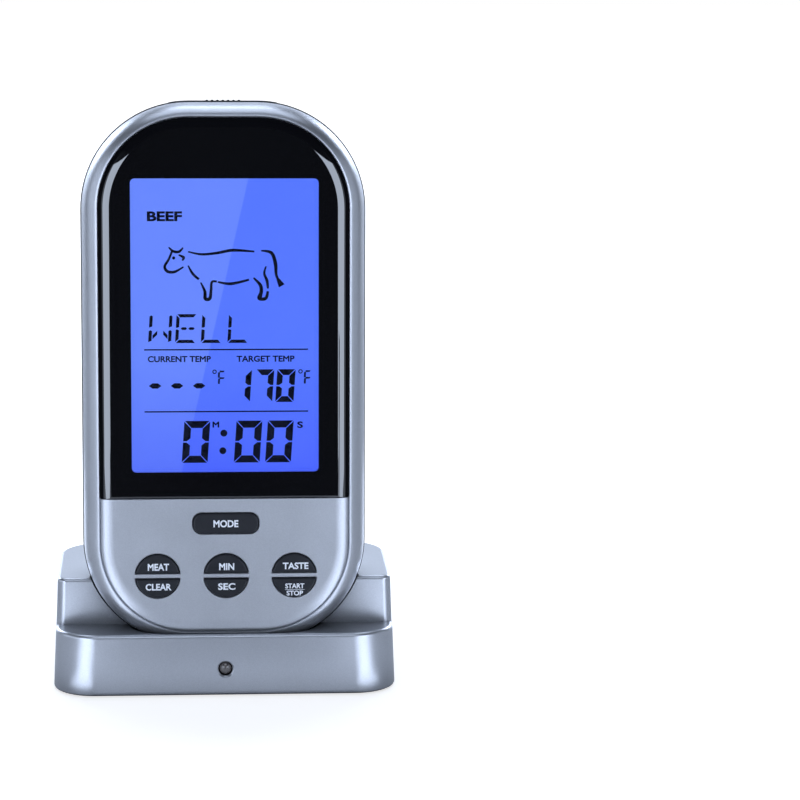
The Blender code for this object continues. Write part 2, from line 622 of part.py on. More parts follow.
def make_receiver_board():
    faces = [face_ring(BOARD_INSET, y) for y in (-BOARD_FRONT, -BOARD_BACK)]
    board = loft("receiver_pcb", faces, BOARD_GREEN, receiver_frame)
    for x, z in PCB_SCREWS:
        cut(board, cylinder("hole", (x, z), 0.9 * MM, "y", -6 * MM, 2 * MM, None, receiver_frame, 8))
    tidy(board)
    profile = [(0.65 * MM, -5.2 * MM), (0.65 * MM, -2.1 * MM), (1.4 * MM, -2.0 * MM), (1.4 * MM, -1.0 * MM)]
    for number, place in enumerate(PCB_SCREWS, 1):
        turned(f"pcb_screw_{number}", place, "y", profile, STEEL, receiver_frame, 8)

    mat = box("keypad_mat", (-22.5 * MM, -4.5 * MM, 10.5 * MM), (22.5 * MM, -3.6 * MM, 33.0 * MM), RUBBER,
              receiver_frame, 4.0 * MM, "y")
    for outline in key_outlines(0.0).values():
        x = sum(point[0] for point in outline) / len(outline)
        z = sum(point[1] for point in outline) / len(outline)
        join(mat, turned("dome", (x, z), "y", [(1.5 * MM, -4.0 * MM), (1.3 * MM, -5.4 * MM)], None,
                         receiver_frame, 8))
    tidy(mat)
    cylinder("buzzer", (-8.0 * MM, 76.0 * MM), 6.0 * MM, "y", -2.0 * MM, 2.0 * MM, BLACK_PLASTIC,
             receiver_frame, 20)
    box("radio_module", (6.0 * MM, -2.0 * MM, 70.0 * MM), (18.0 * MM, -0.4 * MM, 84.0 * MM), BOARD_GREEN,
        receiver_frame)
    points = helix((24.0 * MM, 1.2 * MM), 1.8 * MM, 66.0 * MM, 86.0 * MM, 7, 8, "z")
    tube_along("receiver_antenna", points, 0.3 * MM, 5, BRASS, receiver_frame)


def helix(centre, radius, low, high, turns, steps, direction, grow=0.0):
    """Points of a coil around x, y or z through the centre, from low to high."""
    points = []
    for index in range(turns * steps + 1):
        share = index / (turns * steps)
        angle = 2 * math.pi * index / steps
        across = radius + grow * share
        a = centre[0] + across * math.cos(angle)
        b = centre[1] + across * math.sin(angle)
        along = low + (high - low) * share
        points.append({"x": (along, a, b), "y": (a, along, b), "z": (a, b, along)}[direction])
    return points


def battery(name, centre, direction, low, up, parent):
    """An AAA cell. Its nub points up the axis when up is true, down it otherwise."""
    length = AAA_LENGTH
    profile = [(AAA_RADIUS - 0.5 * MM, 0.0), (AAA_RADIUS, 0.5 * MM), (AAA_RADIUS, length - 0.5 * MM),
               (AAA_RADIUS - 0.5 * MM, length), (1.8 * MM, length), (1.8 * MM, length + AAA_NUB)]
    if not up:
        whole = length + AAA_NUB
        profile = [(radius, whole - along) for radius, along in profile]
    profile = [(radius, low + along) for radius, along in profile]
    turned(name, centre, direction, profile, CELL_WRAP, parent, 20)


CELL_LOW = 13.6 * MM
CELL_X = 5.8 * MM
CELL_Y = 4.55 * MM


def contact_set(prefix, cells, direction, ends, walls, depth_centre, parent):
    """The battery contacts: a spring and a plate at the low end, and a bridge that joins the cells at the top.

    cells holds the two cell axes: the first cell's nub is at the high end, the second's at the low end.
    """
    first, second = cells
    wire = 0.28 * MM
    low, high = ends
    coil = helix(first, 3.0 * MM, low - 0.7 * MM, walls[0] + 0.9 * MM, 3, 8, direction, 0.9 * MM)
    tube_along(prefix + "_contact_spring", coil, wire, 5, STEEL, parent)
    turned(prefix + "_contact_plate", second, direction,
           [(4.2 * MM, walls[0] + 0.4 * MM), (4.2 * MM, walls[0] + 0.9 * MM), (2.2 * MM, low - 0.3 * MM)],
           STEEL, parent, 12)
    half = 9.6 * MM
    plate_low, plate_high = walls[1] - 0.9 * MM, walls[1] - 0.4 * MM
    low_corner = {"x": (plate_low, depth_centre - half, first[1] - 4 * MM),
                  "z": (-half, first[1] - 4 * MM, plate_low)}[direction]
    high_corner = {"x": (plate_high, depth_centre + half, first[1] + 4 * MM),
                   "z": (half, first[1] + 4 * MM, plate_high)}[direction]
    bridge = box(prefix + "_contact_bridge", low_corner, high_corner, STEEL, parent)
    dimple_profile = [(2.2 * MM, high + 0.3 * MM), (3.0 * MM, plate_low + 0.2 * MM)]
    dimple = turned("dimple", first, direction, dimple_profile, None, parent, 12)
    coil = helix(second, 3.0 * MM, high + 0.7 * MM, plate_low + 0.1 * MM, 3, 8, direction, 0.9 * MM)
    join(bridge, [dimple, tube_along("coil", coil, wire, 5, None, parent)])
    tidy(bridge)


def make_receiver_cells():
    battery("receiver_battery_left", (-CELL_X, CELL_Y), "z", CELL_LOW, True, receiver_frame)
    battery("receiver_battery_right", (CELL_X, CELL_Y), "z", CELL_LOW, False, receiver_frame)
    contact_set("receiver", ((-CELL_X, CELL_Y), (CELL_X, CELL_Y)), "z",
                (CELL_LOW, CELL_LOW + AAA_LENGTH + AAA_NUB), (BAY_BOTTOM, BAY_TOP), CELL_Y, receiver_frame)


# ---------------------------------------------------------------- dock


def dock_ring(z, inset=0.0, front_y=None, front_radius=None):
    """The dock's plan at height z, narrower towards the top, moved in by the inset."""
    lean_in = DOCK_TAPER * z + inset
    x = DOCK_HALF_WIDTH - lean_in
    back = DOCK_BACK - lean_in
    front = DOCK_FRONT + lean_in if front_y is None else front_y + inset
    rb = DOCK_BACK_CORNER - inset
    rf = max((DOCK_FRONT_CORNER if front_radius is None else front_radius) - inset, 0.3 * MM)
    centres = [(x - rb, back - rb, rb), (rb - x, back - rb, rb),
               (rf - x, front + rf, rf), (x - rf, front + rf, rf)]
    return [(px, py, z) for px, py in corner_arcs(centres, 4)]


def dock_solid(name, inset, bottom):
    """The stepped outside of the dock as a solid: the low front lip and the tall back block."""
    round_edge = 1.0 * MM
    lip_top = LEDGE_Z - inset
    top = DOCK_TOP - inset
    lip = loft(name, [dock_ring(bottom, inset), dock_ring(lip_top - round_edge, inset),
                      dock_ring(lip_top - 0.3 * round_edge, inset + 0.3 * round_edge),
                      dock_ring(lip_top, inset + round_edge)], SILVER)
    step = STEP_FACE_Y
    block = loft("block", [dock_ring(bottom + 1 * MM, inset + 0.02 * MM, step, STEP_CORNER),
                           dock_ring(top - round_edge, inset + 0.02 * MM, step, STEP_CORNER),
                           dock_ring(top - 0.3 * round_edge, inset + 0.3 * round_edge, step, STEP_CORNER),
                           dock_ring(top, inset + round_edge, step, STEP_CORNER)], None)
    join(lip, block)
    return lip


DOCK_SCREWS = [(x * MM, y * MM) for x in (-32.8, 32.8) for y in (-16.0, 19.0)]
DOCK_FEET = [(x * MM, y * MM) for x in (-33.2, 33.2) for y in (-9.8, 12.6)]


def door_channel(name, side, back, floor):
    """Room behind the receiver for its battery door to slide down."""
    return box(name, (-side, 4.0 * MM, floor), (side, back, 40 * MM), None, receiver_frame)


def make_dock_shell():
    shell = dock_solid("dock_shell", 0.0, DOCK_BOTTOM)
    hollow = dock_solid("hollow", DOCK_WALL, -2 * MM)
    cut(hollow, receiver_envelope("lining", POCKET_GAP + WALL))
    cut(hollow, door_channel("channel_lining", 14.2 * MM, 14.2 * MM, 5.6 * MM))
    for place in DOCK_SCREWS:
        cut(hollow, cylinder("boss", place, 2.2 * MM, "z", 2.4 * MM, 30 * MM, None, None, 10))
    cut(shell, hollow)
    cut(shell, receiver_envelope("pocket", POCKET_GAP))
    cut(shell, door_channel("channel", 12.8 * MM, 12.8 * MM, 7.1 * MM))
    for place in DOCK_SCREWS:
        cut(shell, cylinder("pilot", place, 0.9 * MM, "z", -1 * MM, 9.5 * MM, None, None, 8))
    cut(shell, cylinder("led_hole", (0.0, LED_Z), LED_RADIUS + 0.2 * MM, "y", -25 * MM, -15 * MM, None))
    cut(shell, cylinder("jack_hole", (JACK_Y, JACK_Z), JACK_RADIUS + 0.2 * MM, "x", 34 * MM, 45 * MM, None))
    return tidy(shell)


def make_bottom_cover():
    plate_inset = DOCK_WALL + 0.3 * MM
    plate = [dock_ring(COVER_BOTTOM, plate_inset), dock_ring(COVER_TOP, plate_inset)]
    cover = loft("dock_bottom_cover", plate, BLACK_PLASTIC)
    join(cover, box("tray", (-29 * MM, -4.1 * MM, 1.2 * MM), (29 * MM, 18.95 * MM, 13.4 * MM), None))
    cut(cover, receiver_envelope("clear", POCKET_GAP + WALL + 0.4 * MM))
    cut(cover, box("cells", (-DOCK_BAY_HALF, DOCK_BAY_FRONT, -1 * MM),
                   (DOCK_BAY_HALF, DOCK_BAY_BACK, DOCK_BAY_TOP), None))
    for place in DOCK_FEET:
        cut(cover, cylinder("foot_seat", place, 3.3 * MM, "z", -1 * MM, 1.2 * MM, None))
    counterbore = [(2.1 * MM, -1 * MM), (2.1 * MM, 1.3 * MM), (1.2 * MM, 1.3 * MM), (1.2 * MM, 4 * MM)]
    for place in DOCK_SCREWS:
        cut(cover, turned("screw_hole", place, "z", counterbore, None, None, 10))
    cut(cover, box("switch_slot", (14.5 * MM, -13.3 * MM, -1 * MM), (21.5 * MM, -10.7 * MM, 4 * MM), None))
    return tidy(cover)


def make_dock_door():
    box("dock_battery_door", (-27.5 * MM, -2.75 * MM, COVER_BOTTOM), (27.5 * MM, 18.0 * MM, 1.8 * MM),
        BLACK_PLASTIC, None, 0.8 * MM, "z")


def make_dock_fittings():
    for number, place in enumerate(DOCK_FEET, 1):
        cylinder(f"rubber_foot_{number}", place, 3.0 * MM, "z", 0.0, 1.0 * MM, RUBBER)
    profile = [(1.8 * MM, 0.7 * MM), (1.8 * MM, 1.1 * MM), (0.7 * MM, 1.2 * MM), (0.7 * MM, 9.0 * MM)]
    for number, place in enumerate(DOCK_SCREWS, 1):
        turned(f"dock_screw_{number}", place, "z", profile, STEEL, None, 10)

    box("dock_pcb", (-30 * MM, 4.4 * MM, 13.8 * MM), (30 * MM, 19.0 * MM, 15.2 * MM), BOARD_GREEN)
    led_profile = [(1.9 * MM, -16.4 * MM), (1.9 * MM, -17.4 * MM), (LED_RADIUS, -17.5 * MM),
                   (LED_RADIUS, -20.2 * MM), (1.2 * MM, -20.8 * MM), (0.6 * MM, -21.05 * MM)]
    turned("status_led", (0.0, LED_Z), "y", led_profile, SMOKED, None, 16)

    reach = 3 * MM
    jack = box("probe_jack", (26 * MM, JACK_Y - reach, JACK_Z - reach),
               (36.2 * MM, JACK_Y + reach, JACK_Z + reach), STEEL)
    join(jack, cylinder("collar", (JACK_Y, JACK_Z), JACK_RADIUS, "x", 35 * MM, 38.35 * MM, None, None, 20))
    cut(jack, cylinder("bore", (JACK_Y, JACK_Z), 1.3 * MM, "x", 27.5 * MM, 45 * MM, None, None, 12))
    tidy(jack)

    # The radio coil stands on the left of the board
    points = helix((12.0 * MM, 18.4 * MM), 2.4 * MM, -27 * MM, -8 * MM, 7, 8, "x")
    tube_along("dock_antenna", points, 0.3 * MM, 5, BRASS)

    front, rear = [(y, DOCK_CELL_Z) for y in DOCK_CELL_Y]
    battery("dock_battery_front", front, "x", DOCK_CELL_LOW, True, None)
    battery("dock_battery_rear", rear, "x", DOCK_CELL_LOW, False, None)
    contact_set("dock", (front, rear), "x", (DOCK_CELL_LOW, DOCK_CELL_LOW + AAA_LENGTH + AAA_NUB),
                (-DOCK_BAY_HALF, DOCK_BAY_HALF), (front[0] + rear[0]) / 2, None)

    box("dock_switch_body", (12.5 * MM, -15.5 * MM, 3.2 * MM), (23.5 * MM, -8.5 * MM, 6.4 * MM), STEEL)
    knob = box("dock_switch_knob", (14.9 * MM, -13.0 * MM, 0.7 * MM), (17.4 * MM, -11.0 * MM, 2.5 * MM),
               BLACK_PLASTIC, None, 0.2 * MM, "z", 1)
    join(knob, box("knob_foot", (13.6 * MM, -13.8 * MM, 2.35 * MM), (18.7 * MM, -10.2 * MM, 2.9 * MM), None))


make_front_shell()
make_window()
make_keys()
make_rear_shell()
make_battery_door()
make_clip()
make_clip_hardware()
make_light_button()
make_receiver_switches()
make_display_stack()
make_receiver_board()
make_receiver_cells()
make_dock_shell()
make_bottom_cover()
make_dock_door()
make_dock_fittings()

# The dock reaches further back than forward of the line it is drawn from, so the whole set moves forward
# until the origin is under the middle of the dock's depth
middle = (DOCK_FRONT + DOCK_BACK) / 2
for made in bpy.context.scene.collection.objects:
    if made.parent is None:
        made.location.y -= middle
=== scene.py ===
"""Looks of the wireless meat thermometer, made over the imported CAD.

Lengths are in metres; mm() and MM turn millimetres into them. Receiver pieces are made in the receiver's own
frame (x across, -y the front, z up its face) and placed by the matrix RECEIVER, from the record's joints.
"""

import json
import math

import bmesh
import bpy
from mathutils import Matrix, Vector


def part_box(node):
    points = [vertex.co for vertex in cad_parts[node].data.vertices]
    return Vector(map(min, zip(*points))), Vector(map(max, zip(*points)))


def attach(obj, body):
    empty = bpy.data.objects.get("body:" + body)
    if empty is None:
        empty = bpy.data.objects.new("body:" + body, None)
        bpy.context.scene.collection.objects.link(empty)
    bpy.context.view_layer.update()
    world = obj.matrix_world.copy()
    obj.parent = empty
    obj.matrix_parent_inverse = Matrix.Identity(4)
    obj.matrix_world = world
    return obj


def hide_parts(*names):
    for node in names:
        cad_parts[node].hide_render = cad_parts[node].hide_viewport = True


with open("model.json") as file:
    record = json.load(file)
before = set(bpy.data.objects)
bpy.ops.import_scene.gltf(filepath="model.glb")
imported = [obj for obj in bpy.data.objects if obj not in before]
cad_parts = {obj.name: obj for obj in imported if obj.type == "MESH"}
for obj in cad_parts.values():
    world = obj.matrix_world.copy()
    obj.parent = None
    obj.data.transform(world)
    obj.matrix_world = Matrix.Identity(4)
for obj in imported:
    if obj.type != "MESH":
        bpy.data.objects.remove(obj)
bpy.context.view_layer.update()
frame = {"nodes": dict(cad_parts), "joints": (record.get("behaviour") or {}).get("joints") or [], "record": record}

MM = 0.001


def mm(*lengths):
    return tuple(length * MM for length in lengths)


JOINTS = {joint["name"]: joint for joint in frame["joints"]}


# ---------------------------------------------------------------- where things are, from the frame

UP = Vector(JOINTS["receiver_lift"]["axis"])
LEAN = math.atan2(UP.y, UP.z)
CLIP_PIVOT = Vector(mm(0.0, 10.6, 95.2))
LEAN_BACK = Matrix.Rotation(-LEAN, 4, "X")
PIVOT_WORLD = Vector(JOINTS["belt_clip_hinge"]["pos_m"])
RECEIVER = Matrix.Translation(PIVOT_WORLD - LEAN_BACK.to_3x3() @ CLIP_PIVOT) @ LEAN_BACK

DOCK_LOW, DOCK_HIGH = (Vector(corner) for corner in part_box("dock_shell"))
LED_LOW, LED_HIGH = (Vector(corner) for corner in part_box("status_led"))
JACK_LOW, JACK_HIGH = (Vector(corner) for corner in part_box("probe_jack"))

# Receiver outline and depths
HALF_WIDTH = 32.1 * MM
HEIGHT = 123.6 * MM
CORNER = 24.3 * MM
CORNER_STEPS = 28
SEAM_GAP = 0.15 * MM
RIM_ROUND = 0.15 * MM
WALL = 1.5 * MM
FRONT_INSET = 0.25 * MM
BAND_DEPTH = 7.5 * MM
FACE_DEPTH = 9.0 * MM
BAND_EDGE = 3.75 * MM
GROOVE_OUT = 4.1 * MM
GROOVE_IN = 4.25 * MM
ISLAND_BEVEL = 2.9 * MM
PANEL_START = 4.3 * MM
PANEL_RISE = 0.9 * MM
PANEL_BEVEL = 3.0 * MM
WINDOW_BOTTOM = 34.8 * MM
TOP_SHIFT = 0.7 * MM
# Degrees that the front's and the back's outer rounds turn through before their edges
BAND_SWEEP = 78.0
REAR_SWEEP = 84.0

# How far cutters reach past the surfaces that they open: in depth, and sideways where they cut right across
PAST = 20 * MM
FAR = 50 * MM

# The part of the display that shows through the window
VIEW_LOW = mm(-20.8, 40.8)
VIEW_HIGH = mm(21.1, 106.7)
VIEW_CORNER = 1.0 * MM
GLASS_FRONT = 7.1 * MM

# Keys
PILL_CENTRE = mm(0.2, 29.1)
PILL_HALF = mm(7.35, 2.3)
SPLIT_CENTRES = mm(-15.2, 0.25, 15.6)
SPLIT_CENTRE_Z = 17.15 * MM
SPLIT_RADIUS = 4.95 * MM
SPLIT_BAR = 1.3 * MM
KEY_TOP = 9.5 * MM
KEY_GAP = 0.12 * MM
KEY_RIM = 0.15 * MM

# Rear shell
REAR_BAND_INSET = 5.3 * MM
REAR_BAND_DEPTH = 6.3 * MM
DOME_INSET = 5.9 * MM
REAR_DEPTH = 12.0 * MM
SEAM_DEPTH = 0.7 * MM
DOME_SIDE = 5.5 * MM
DOME_TOP = 11.5 * MM
DOME_BOTTOM = 15.0 * MM
DOME_END_CORNER = 19.5 * MM
DOME_END_CORNER_TOP = 15.0 * MM
VENT_X = 19.6 * MM
VENT_Z = mm(91.1, 86.0, 80.9, 40.3, 35.2, 30.1)
SWITCH_X = -18.35 * MM
RESET_AT = mm(18.3, 54.15)
TUB_HALF = 13.4 * MM
TUB_TOP = 63.4 * MM
BAY_BOTTOM = 10.2 * MM
DOOR_OPENING_HALF = 12.4 * MM
DOOR_OPENING_TOP = 62.8 * MM
DOOR_HALF = 12.15 * MM
DOOR_HEIGHTS = mm(10.5, 62.55)
RECESS_BOTTOM = 91.2 * MM

# Belt clip
CLIP_HALF = 7.2 * MM
CLIP_TIP = 62.9 * MM
CLIP_TIP_START = 69.0 * MM
CLIP_TOP = 91.0 * MM
THUMB_DEPTH = 13.38 * MM
THUMB_STEP = 68.2 * MM

# Dock, its lamp and its probe socket
DOCK_HALF_WIDTH = 39.0 * MM
DOCK_HALF_DEPTH = 23.3 * MM
DOCK_FRONT_CORNER = 9.5 * MM
DOCK_BACK_CORNER = 10.0 * MM
LEDGE_Z = 14.4 * MM
DOCK_TAPER = 0.95 / 25.2
STEP_FACE_Y = -12.6 * MM
STEP_CORNER = 2.0 * MM
DOCK_WALL = 1.6 * MM
POCKET_GAP = 0.4 * MM
DOCK_EDGE = 0.9 * MM
LAMP_RADIUS = 1.45 * MM
LAMP_DOME = 1.1 * MM

# Floor and camera; the camera's turns are in degrees
FLOOR_HALF = 2.4
FLOOR_FRONT = -0.37
CAMERA_LENS = 137.3
CAMERA_AT = (-0.0096, -0.690, 0.199)
CAMERA_YAW = -4.172
CAMERA_DOWN = 11.058
CAMERA_ROLL = 0.5


# ---------------------------------------------------------------- materials


def feed(tree, node, values):
    """Fills a node's sockets, by name or number, with plain values or with other nodes' outputs."""
    for socket, value in values.items():
        if isinstance(value, bpy.types.NodeSocket):
            tree.links.new(value, node.inputs[socket])
        else:
            node.inputs[socket].default_value = value


def add_node(tree, kind, values=None, **settings):
    """Adds a shader node of a kind, with its settings and its filled sockets."""
    node = tree.nodes.new("ShaderNode" + kind)
    for setting, value in settings.items():
        setattr(node, setting, value)
    feed(tree, node, values or {})
    return node


def stretched(tree, value, low, high, from_low, from_high):
    """Stretches the part of a pattern between from_low and from_high to the range low to high."""
    values = {"Value": value, "From Min": from_low, "From Max": from_high, "To Min": low, "To Max": high}
    return add_node(tree, "MapRange", values).outputs["Result"]


def combined(tree, operation, first, second):
    return add_node(tree, "Math", {0: first, 1: second}, operation=operation).outputs["Value"]


class Surface:
    """A Principled material with a few node shortcuts. Patterns are in object space, in metres."""

    def __init__(self, name, colour, roughness, metallic=0.0, coat=0.0):
        self.material = bpy.data.materials.new(name)
        self.material.use_nodes = True
        self.material.diffuse_color = (*colour, 1.0)
        self.tree = self.material.node_tree
        self.shader = self.tree.nodes["Principled BSDF"]
        self.set("Base Color", (*colour, 1.0))
        self.set("Roughness", roughness)
        self.set("Metallic", metallic)
        self.set("Coat Weight", coat)
        self.set("Coat Roughness", 0.08)
        self.place = self.node("TexCoord").outputs["Object"]
        self.height = None

    def set(self, socket, value):
        feed(self.tree, self.shader, {socket: value})

    def node(self, kind, values=None, **settings):
        return add_node(self.tree, kind, values, **settings)

    def noise(self, size, detail=2.0, stretch=(1.0, 1.0, 1.0)):
        """A noise whose features are about `size` metres wide."""
        place = self.node("Mapping", {"Scale": stretch, "Vector": self.place}).outputs["Vector"]
        return self.node("TexNoise", {"Scale": 1.0 / size, "Detail": detail, "Vector": place}).outputs["Fac"]

    def flakes(self, size):
        """Small cells with a random shade each."""
        cells = self.node("TexVoronoi", {"Scale": 1.0 / size, "Vector": self.place})
        return self.node("SeparateColor", {"Color": cells.outputs["Color"]}).outputs["Red"]

    def spread(self, value, low, high, from_low=0.3, from_high=0.7):
        return stretched(self.tree, value, low, high, from_low, from_high)

    def blend(self, first, second, pattern):
        """Mixes two colours, each given as numbers or as an output, by a pattern."""
        values = {"A": first, "B": second, "Factor": pattern}
        for socket, value in values.items():
            if isinstance(value, tuple):
                values[socket] = (*value, 1.0)
        return self.node("Mix", values, data_type="RGBA").outputs["Result"]

    def tint(self, pattern, dark, light):
        """Colours the surface between two colours by a pattern."""
        self.set("Base Color", self.blend(dark, light, pattern))

    def bump(self, pattern, depth, strength=1.0):
        """Adds a relief of about `depth` metres; each call builds on the last."""
        values = {"Strength": strength, "Distance": depth, "Height": pattern}
        if self.height is not None:
            values["Normal"] = self.height
        self.height = self.node("Bump", values).outputs["Normal"]
        self.set("Normal", self.height)

    def shade_corners(self, distance, darkest):
        """Paints shade into the base colour where other surfaces stand close by: painted shadow in corners and
        creases.
        """
        near = self.node("AmbientOcclusion", {"Distance": distance}, samples=8)
        values = {
            "Factor": 1.0,
            "A": self.shader.inputs["Base Color"].links[0].from_socket,
            "B": self.spread(near.outputs["AO"], darkest, 1.0, 0.15, 0.8),
        }
        darkened = self.node("Mix", values, data_type="RGBA", blend_type="MULTIPLY")
        self.set("Base Color", darkened.outputs["Result"])

    def roughen(self, pattern, low, high):
        self.set("Roughness", self.spread(pattern, low, high))


def scaled(colour, factor):
    return tuple(min(1.0, channel * factor) for channel in colour)


def painted_silver(name, roughness):
    """Sprayed silver: fine bright flakes over an even coat, slightly uneven in gloss."""
    colour = (0.55, 0.565, 0.60)
    made = Surface(name, colour, roughness, 0.85)
    mottle = combined(made.tree, "ADD", made.flakes(0.16 * MM), made.noise(9 * MM, 3.0))
    made.tint(made.spread(mottle, 0.0, 1.0, 0.2, 1.8), scaled(colour, 0.93), scaled(colour, 1.07))
    made.roughen(made.noise(6 * MM, 2.0), roughness - 0.015, roughness + 0.015)
    made.bump(made.noise(0.22 * MM, 2.0), 0.012 * MM, 0.5)
    made.bump(made.noise(14 * MM, 1.0), 0.03 * MM, 0.4)
    return made


def dock_silver():
    """A glossier coat of the same paint, with painted shade in the corners between the steps and where the
    receiver stands close.
    """
    made = painted_silver("dock_silver", 0.30)
    # Painted shade within 12 mm of other surfaces
    made.shade_corners(12 * MM, 0.22)
    return made.material


def gunmetal(name, shade_of=1.0, grain=0.03 * MM):
    """Dark moulded plastic with a grained skin that catches the light in points, and painted shade in its creases
    and recesses.
    """
    colour = scaled((0.118, 0.119, 0.125), shade_of)
    made = Surface(name, colour, 0.35, 0.8)
    made.tint(made.flakes(0.2 * MM), scaled(colour, 0.65), scaled(colour, 1.45))
    made.roughen(made.noise(4 * MM, 4.0), 0.31, 0.39)
    made.bump(made.noise(0.32 * MM, 3.0), grain, 0.8)
    # Painted shade within 2.5 mm of other surfaces
    made.shade_corners(2.5 * MM, 0.1)
    return made.material


def window_black():
    """Glossy black acrylic with the faintest smears; its outermost rim and its top edge are dull."""
    made = Surface("window_black", (0.0035, 0.0035, 0.0045), 0.03)
    made.set("IOR", 2.2)
    made.roughen(made.noise(18 * MM, 5.0, (1.0, 1.0, 2.2)), 0.02, 0.045)
    made.tint(made.noise(30 * MM, 2.0), (0.003, 0.003, 0.004), (0.005, 0.005, 0.006))
    made.bump(made.noise(40 * MM, 1.0), 0.01 * MM, 0.2)
    axes = made.node("SeparateXYZ", {"Vector": made.place}).outputs
    below_top = made.spread(axes["Z"], 0.5, 0.0, 112.2 * MM, 113.0 * MM)
    # The rim keeps the same distance from the outline: measured from the centres of the top corners' rounds
    folded = made.place
    corner = (HALF_WIDTH - CORNER, 0.0, HEIGHT + TOP_SHIFT - CORNER)
    for operation, other in (("ABSOLUTE", None), ("SUBTRACT", corner), ("MAXIMUM", (0.0, -1.0, 0.0)),
                             ("MULTIPLY", (1.0, 0.0, 1.0)), ("LENGTH", None)):
        values = {0: folded} if other is None else {0: folded, 1: other}
        step = made.node("VectorMath", values, operation=operation)
        folded = step.outputs["Value" if operation == "LENGTH" else "Vector"]
    rim = CORNER - 5.0 * MM
    inside_rim = made.spread(folded, 1.0, 0.0, rim, rim + 0.1 * MM)
    polish = combined(made.tree, "MULTIPLY", below_top, inside_rim)
    # Only the bevel is dulled: the flat front keeps its full gloss
    on_bevel = made.spread(axes["Y"], 0.0, 1.0, -8.97 * MM, -8.9 * MM)
    gloss = made.node("Mix", {"A": 0.5, "B": polish, "Factor": on_bevel})
    made.set("Specular IOR Level", gloss.outputs["Result"])
    return made.material


def clear_pane():
    made = Surface("clear_pane", (0.96, 0.98, 1.0), 0.02)
    made.set("Transmission Weight", 1.0)
    made.set("IOR", 1.2)
    made.roughen(made.noise(16 * MM, 5.0), 0.0, 0.02)
    return made.material


def satin_plastic(name, colour, roughness, grain=0.25 * MM, depth=0.01 * MM):
    made = Surface(name, colour, roughness)
    made.tint(made.spread(made.noise(5 * MM, 4.0), 0.0, 1.0), scaled(colour, 0.85), scaled(colour, 1.15))
    made.roughen(made.noise(2.5 * MM, 3.0), roughness - 0.06, roughness + 0.06)
    made.bump(made.noise(grain, 2.0), depth, 0.5)
    return made.material


def metal(name, colour, roughness, brushed=(1.0, 1.0, 1.0)):
    made = Surface(name, colour, roughness, 1.0)
    streaks = made.noise(0.5 * MM, 4.0, brushed)
    made.tint(made.spread(streaks, 0.0, 1.0), scaled(colour, 0.82), scaled(colour, 1.1))
    made.roughen(made.noise(1.2 * MM, 4.0), roughness - 0.06, roughness + 0.08)
    made.bump(streaks, 0.004 * MM, 0.5)
    return made.material


def white_print():
    made = Surface("white_print", (0.80, 0.82, 0.86), 0.5)
    made.tint(made.spread(made.noise(0.4 * MM, 3.0), 0.0, 1.0), (0.66, 0.68, 0.72), (0.86, 0.88, 0.92))
    made.bump(made.noise(0.2 * MM, 2.0), 0.004 * MM, 0.4)
    return made.material


def segment_ink():
    """The dark state of the liquid crystal: blue-black, a little uneven."""
    made = Surface("segment_ink", (0.004, 0.005, 0.02), 0.5)
    made.set("Specular IOR Level", 0.1)
    made.tint(made.noise(6 * MM, 3.0), (0.003, 0.004, 0.014), (0.006, 0.008, 0.024))
    made.roughen(made.noise(1 * MM, 2.0), 0.45, 0.55)
    return made.material


def lit_display():
    """The blue backlight through the glass: a painted reflection makes it paler to the left of a slanting edge,
    and it is deeper low down.
    """
    made = Surface("lit_display", (0.01, 0.02, 0.10), 0.25)
    axes = made.node("SeparateXYZ", {"Vector": made.place}).outputs
    # The painted reflection's edge runs from (5.5, 106.7) down to (-9.6, 40.8) on the display, in millimetres
    slope = (5.5 + 9.6) / (106.7 - 40.8)
    values = {0: axes["Z"], 1: -slope, 2: (9.6 + 40.8 * slope) * MM}
    edge = made.node("Math", values, operation="MULTIPLY_ADD").outputs["Value"]
    side = made.spread(combined(made.tree, "ADD", edge, axes["X"]), 0.0, 1.0, -0.15 * MM, 0.15 * MM)
    low = made.spread(axes["Z"], 1.0, 0.0, 40 * MM, 66 * MM)
    cloud = made.spread(made.noise(26 * MM, 1.0), 0.0, 0.05, 0.3, 0.8)
    # The paler blues, to the left of the edge, are a painted reflection on the glass
    upper = made.blend((0.135, 0.235, 0.93), (0.084, 0.170, 0.93), side)
    lower = made.blend((0.088, 0.155, 0.90), (0.060, 0.115, 0.92), side)
    made.set("Emission Color", made.blend(made.blend(upper, lower, low), (0.09, 0.21, 0.90), cloud))
    made.set("Emission Strength", 1.0)
    made.roughen(made.noise(3 * MM, 2.0), 0.29, 0.35)
    return made.material


def circuit_board():
    """Green solder resist with faint copper runs under it."""
    made = Surface("circuit_board", (0.02, 0.16, 0.07), 0.4)
    runs = made.spread(made.noise(1.6 * MM, 0.0, (1.0, 1.0, 4.0)), 0.0, 1.0, 0.48, 0.54)
    made.tint(runs, (0.012, 0.11, 0.045), (0.03, 0.22, 0.09))
    made.roughen(made.noise(2 * MM, 3.0), 0.32, 0.45)
    made.bump(runs, 0.02 * MM, 0.6)
    return made.material


def cell_wrap():
    """A plain green sleeve, slightly uneven in colour and gloss."""
    made = Surface("cell_wrap", (0.05, 0.22, 0.10), 0.28)
    made.tint(made.spread(made.noise(8 * MM, 3.0), 0.0, 1.0), (0.035, 0.17, 0.08), (0.06, 0.27, 0.13))
    made.roughen(made.noise(2 * MM, 3.0), 0.22, 0.34)
    made.bump(made.noise(1.5 * MM, 2.0), 0.01 * MM, 0.4)
    return made.material


def smoked_lens():
    made = Surface("smoked_lens", (0.10, 0.085, 0.08), 0.08, 0.0, 0.6)
    made.tint(made.spread(made.noise(0.8 * MM, 2.0), 0.0, 1.0), (0.05, 0.045, 0.045), (0.16, 0.14, 0.13))
    made.roughen(made.noise(0.6 * MM, 2.0), 0.05, 0.12)
    return made.material


